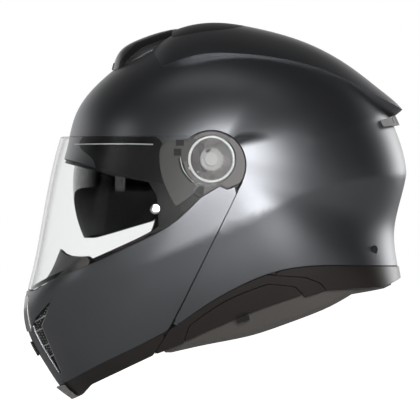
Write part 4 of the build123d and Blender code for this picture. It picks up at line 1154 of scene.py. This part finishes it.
cloth_pattern.links.new(cloth_in.outputs["Color"], dye.inputs[0])
cloth_pattern.links.new(shade, dye.inputs["Scale"])
cloth_pattern.links.new(dye.outputs[0], cloth_out.inputs["Color"])
cloth_pattern.links.new(yarn, cloth_out.inputs["Height"])
CLOTH_BUMP, YARN_HEIGHT = 0.35, 0.0003


def cloth_material(name, color, scale, roughness, sheen):
    """Woven cloth: crossed yarn in its colour and its bump, with a soft sheen."""
    material = bpy.data.materials.new(name)
    material.use_nodes = True
    tree = material.node_tree
    shader = tree.nodes["Principled BSDF"]
    node = tree.nodes.new("ShaderNodeGroup")
    node.node_tree = cloth_pattern
    node.inputs["Color"].default_value = (*color, 1)
    node.inputs["Scale"].default_value = scale
    raised = tree.nodes.new("ShaderNodeBump")
    raised.inputs["Strength"].default_value = CLOTH_BUMP
    raised.inputs["Distance"].default_value = YARN_HEIGHT
    tree.links.new(node.outputs["Color"], shader.inputs["Base Color"])
    tree.links.new(node.outputs["Height"], raised.inputs["Height"])
    tree.links.new(raised.outputs[0], shader.inputs["Normal"])
    shader.inputs["Roughness"].default_value = roughness
    shader.inputs["Sheen Weight"].default_value = sheen
    return material


STITCH_DIP, STITCH_WIDTH, DEEPEST_DIP, CUSHION_ROLL = 0.6, 0.35, 0.3, 0.8


def cushion(surface, zone, thick, puff, reach, stitches=()):
    """Padded piece under the part of a surface in a zone. Its inner face swells away from its edges
    by puff times one less the exponential of the way in, and dips along each stitched line."""
    place, normal, triangles = trimmed(surface, zone)
    pixels = side_pixel(place)
    depth = np.maximum(zone(pixels, place[:, 1]), 0) * PIXEL
    swell = puff * (1 - np.exp(-depth / reach))
    for line in stitches:
        gap = np.abs(away_from_line(pixels, line)) * PIXEL
        swell -= STITCH_DIP * puff * np.exp(-(gap / (STITCH_WIDTH * reach)) ** 2) * (depth > 0)
    wall = thick + np.maximum(swell, -DEEPEST_DIP * thick)
    return thickened(place, normal, triangles, wall, CUSHION_ROLL)


crown_cloth = cloth_material("crown_cloth", (0.05, 0.048, 0.05), 1300, 0.85, 0.3)
neck_cloth = cloth_material("neck_cloth", (0.11, 0.1, 0.092), 2200, 0.6, 0.25)
CROWN_PAD = straight([(112, 150), (126, 180), (150, 197), (240, 209), (430, 214), (430, FAR_UP),
                      (60, FAR_UP)])
CROWN_SEAMS = [cut_line((170, 40), (185, 200)), cut_line((250, 30), (250, 205)),
               cut_line((320, 50), (310, 210))]
PAD_OUT, PAD_THICK, PAD_PUFF, PAD_REACH = 0.03335, 0.007, 0.0035, 0.008
crown_body = cushion(helmet_form(SHELL_FORM, PAD_OUT), within(CROWN_PAD), PAD_THICK, PAD_PUFF, PAD_REACH,
                     CROWN_SEAMS)
crown_pad = lay_mesh("crown_pad", *crown_body, crown_cloth)
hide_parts("crown_liner")
cheek_outline = closed_runs([(112, 252), (150, 233), (157, 210)], [(236, 217), (262, 250), (262, 272)],
                            [(262, 272), (238, 292), (207, 312), (168, 334)],
                            [(146, 322), (112, 270), (112, 252)])
CHEEK_NEAR, CHEEK_THIN = 0.062, 0.006
cheek_pixels = outline_of(cheek_outline)


def cheek_body(rows=26):
    """Cheek pad on the left: rings of its outline drawn in towards the middle, over an outer
    face that follows the foam and an inner face that is crowned."""
    middle = cheek_pixels.mean(axis=0)
    rings = []
    shares = np.sin(np.linspace(0.02, math.pi / 2, rows))
    for share in list(shares) + list(shares[::-1]):
        rings.append(middle + (cheek_pixels - middle) * share)
    rings = np.array(rings)
    outer = side_on(rings[:rows], SHELL_FORM, PAD_OUT)
    drawn = np.sqrt(np.maximum(0, 1 - np.linspace(0.02, 1, rows) ** 6))[:, None]
    outer = CHEEK_NEAR + CHEEK_THIN + (outer - CHEEK_NEAR - CHEEK_THIN) * np.maximum(drawn, 0.15)
    inner = CHEEK_NEAR + CHEEK_THIN * (1 - drawn[::-1]) * np.ones_like(outer)
    side = np.vstack([outer, inner])
    flat = side_place(rings)
    return ringed(np.stack([flat[..., 0], -side, flat[..., 1]], axis=-1))


for name, body in hands(cheek_body()):
    pad = lay_mesh(name + "_cheek_cushion", *body, crown_cloth)
    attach(pad, "shell")
    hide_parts(name + "_cheek_pad")
NECK = closed_runs([(172, 324), (208, 300), (238, 283), (267, 270.5), (297, 264), (326, 262)], (395, 262),
                   (392, 279), [(352, 288), (333, 299), (311, 309), (282, 320), (253, 330), (209, 339.5),
                                (166, 349.5)])
NECK_OUT, NECK_THICK, NECK_PUFF, NECK_REACH = 0.0052, 0.016, 0.005, 0.01
neck_zone = both(within(NECK), outside(within(cheek_outline)))
neck_body = cushion(helmet_form(SHELL_FORM, NECK_OUT), neck_zone, NECK_THICK, NECK_PUFF, NECK_REACH)
neck_ring = lay_mesh("neck_ring", *neck_body, neck_cloth)
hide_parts("neck_roll")
for piece, slot_name in ((crown_pad, "liner_cloth"), (neck_ring, "neck_cloth")):
    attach(piece, "shell")

# Chin strap: woven nylon webbing that comes out behind each cheek pad and folds down on a small bend
# towards the buckle.
STRAP_HALF, STRAP_MIDDLE, STRAP_TOP, STRAP_LOW = 0.011, -0.007, 0.129, 0.088
STRAP_OUT, STRAP_FACE, STRAP_THICK, STRAP_BEND = 0.082, 0.06065, 0.0018, 0.0012
webbing = cloth_material("webbing", (0.025, 0.025, 0.027), 2600, 0.7, 0.2)


def strap_body():
    """Webbing on the left: its middle line runs in, bends on a quarter circle and hangs down,
    with a section of two flats joined by half rounds."""
    bend = np.linspace(0, math.pi / 2, 8)
    line = [(STRAP_OUT, STRAP_TOP), (0.07, STRAP_TOP)]
    line += [(STRAP_FACE + STRAP_BEND * (1 - math.sin(t)), STRAP_TOP - STRAP_BEND * (1 - math.cos(t)))
             for t in bend]
    line += [(STRAP_FACE, z) for z in np.linspace(STRAP_TOP - 0.006, STRAP_LOW, 8)]
    line = np.array(line)
    way = np.gradient(line, axis=0)
    way /= np.linalg.norm(way, axis=1, keepdims=True)
    turn = np.linspace(0, math.pi, 5)
    half = np.stack([STRAP_HALF - MM + MM * np.sin(turn), STRAP_THICK / 2 * np.cos(turn)], axis=-1)
    along, up = np.vstack([half, -half]).T
    out, height = line[:, :1] - way[:, 1:] * up, line[:, 1:] + way[:, :1] * up
    return ringed(np.stack([np.broadcast_to(STRAP_MIDDLE + along, out.shape), -out, height], axis=-1))


for name, body in hands(strap_body()):
    band = lay_mesh(name + "_strap_webbing", *body, webbing)
    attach(band, "shell")
    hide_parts(name + "_chin_strap")

# Chin shutter tab: a low black slide under the chin cover that the thumb pushes down. It clears the
# paint along its whole travel.
TAB_PIXELS = straight([(26, 342.2), (44, 342.2), (44, 355.6), (26, 355.6)])
TAB_PROUD, TAB_HALF, TAB_CLEAR = 0.0021, 0.012, 0.0009
tab_surface = helmet_form(FACE_FORM, -TAB_PROUD, turns=900, leans=401)
tab_zone = both(within(TAB_PIXELS), inboard(TAB_HALF))
tab_body = panel(tab_surface, tab_zone, TAB_PROUD - TAB_CLEAR, 0.4)
chin_tab = lay_mesh("chin_shutter_tab", *tab_body, dark_plastic)
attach(chin_tab, "chin_vent_slider")
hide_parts("chin_vent_slider")

# Carried-over pieces: their shapes come from the frame, and each gets the finish of its kind, such as
# black rubber, grey bead foam, moulded plastic or brushed steel.
rubber = finish_material("seal_rubber", (0.012, 0.012, 0.012), 0.5, scale=700, tone=0.3, bump=0.1)
foam = finish_material("grey_foam", (0.03, 0.03, 0.032), 0.9, scale=500, tone=0.5, bump=0.5, reach=0.0006)
brushed = finish_material("brushed_metal", (0.55, 0.55, 0.56), 0.32, scale=900, tone=0.2, Metallic=1.0)
cover_paint = finish_material("cover_grey", (0.16, 0.15, 0.148), 0.5, scale=1500, tone=0.2, bump=0.08)
FINISHES = [
    (rubber, ["visor_seal", "brow_seal"]),
    (foam, ["impact_liner", "chin_foam"]),
    (dark_plastic, ["left_rear_plug", "right_rear_plug", "buckle_tongue", "sun_visor_slider"]),
    (trim_plastic, ["release_button"]),
    (cover_paint, ["left_hinge_plate", "right_hinge_plate", "rear_vent_grille"]),
    (brushed, ["buckle_housing", "buckle_lever"] + [
        f"{hand}_{kind}" for hand in ("left", "right")
        for kind in ("hinge_bush", "pivot_bolt", "pivot_nut", "sun_visor_pin", "latch_hook", "latch_pin",
                     "latch_striker")])]
for material, names in FINISHES:
    for name in names:
        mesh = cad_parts[name].data
        mesh.materials.clear()
        mesh.materials.append(material)
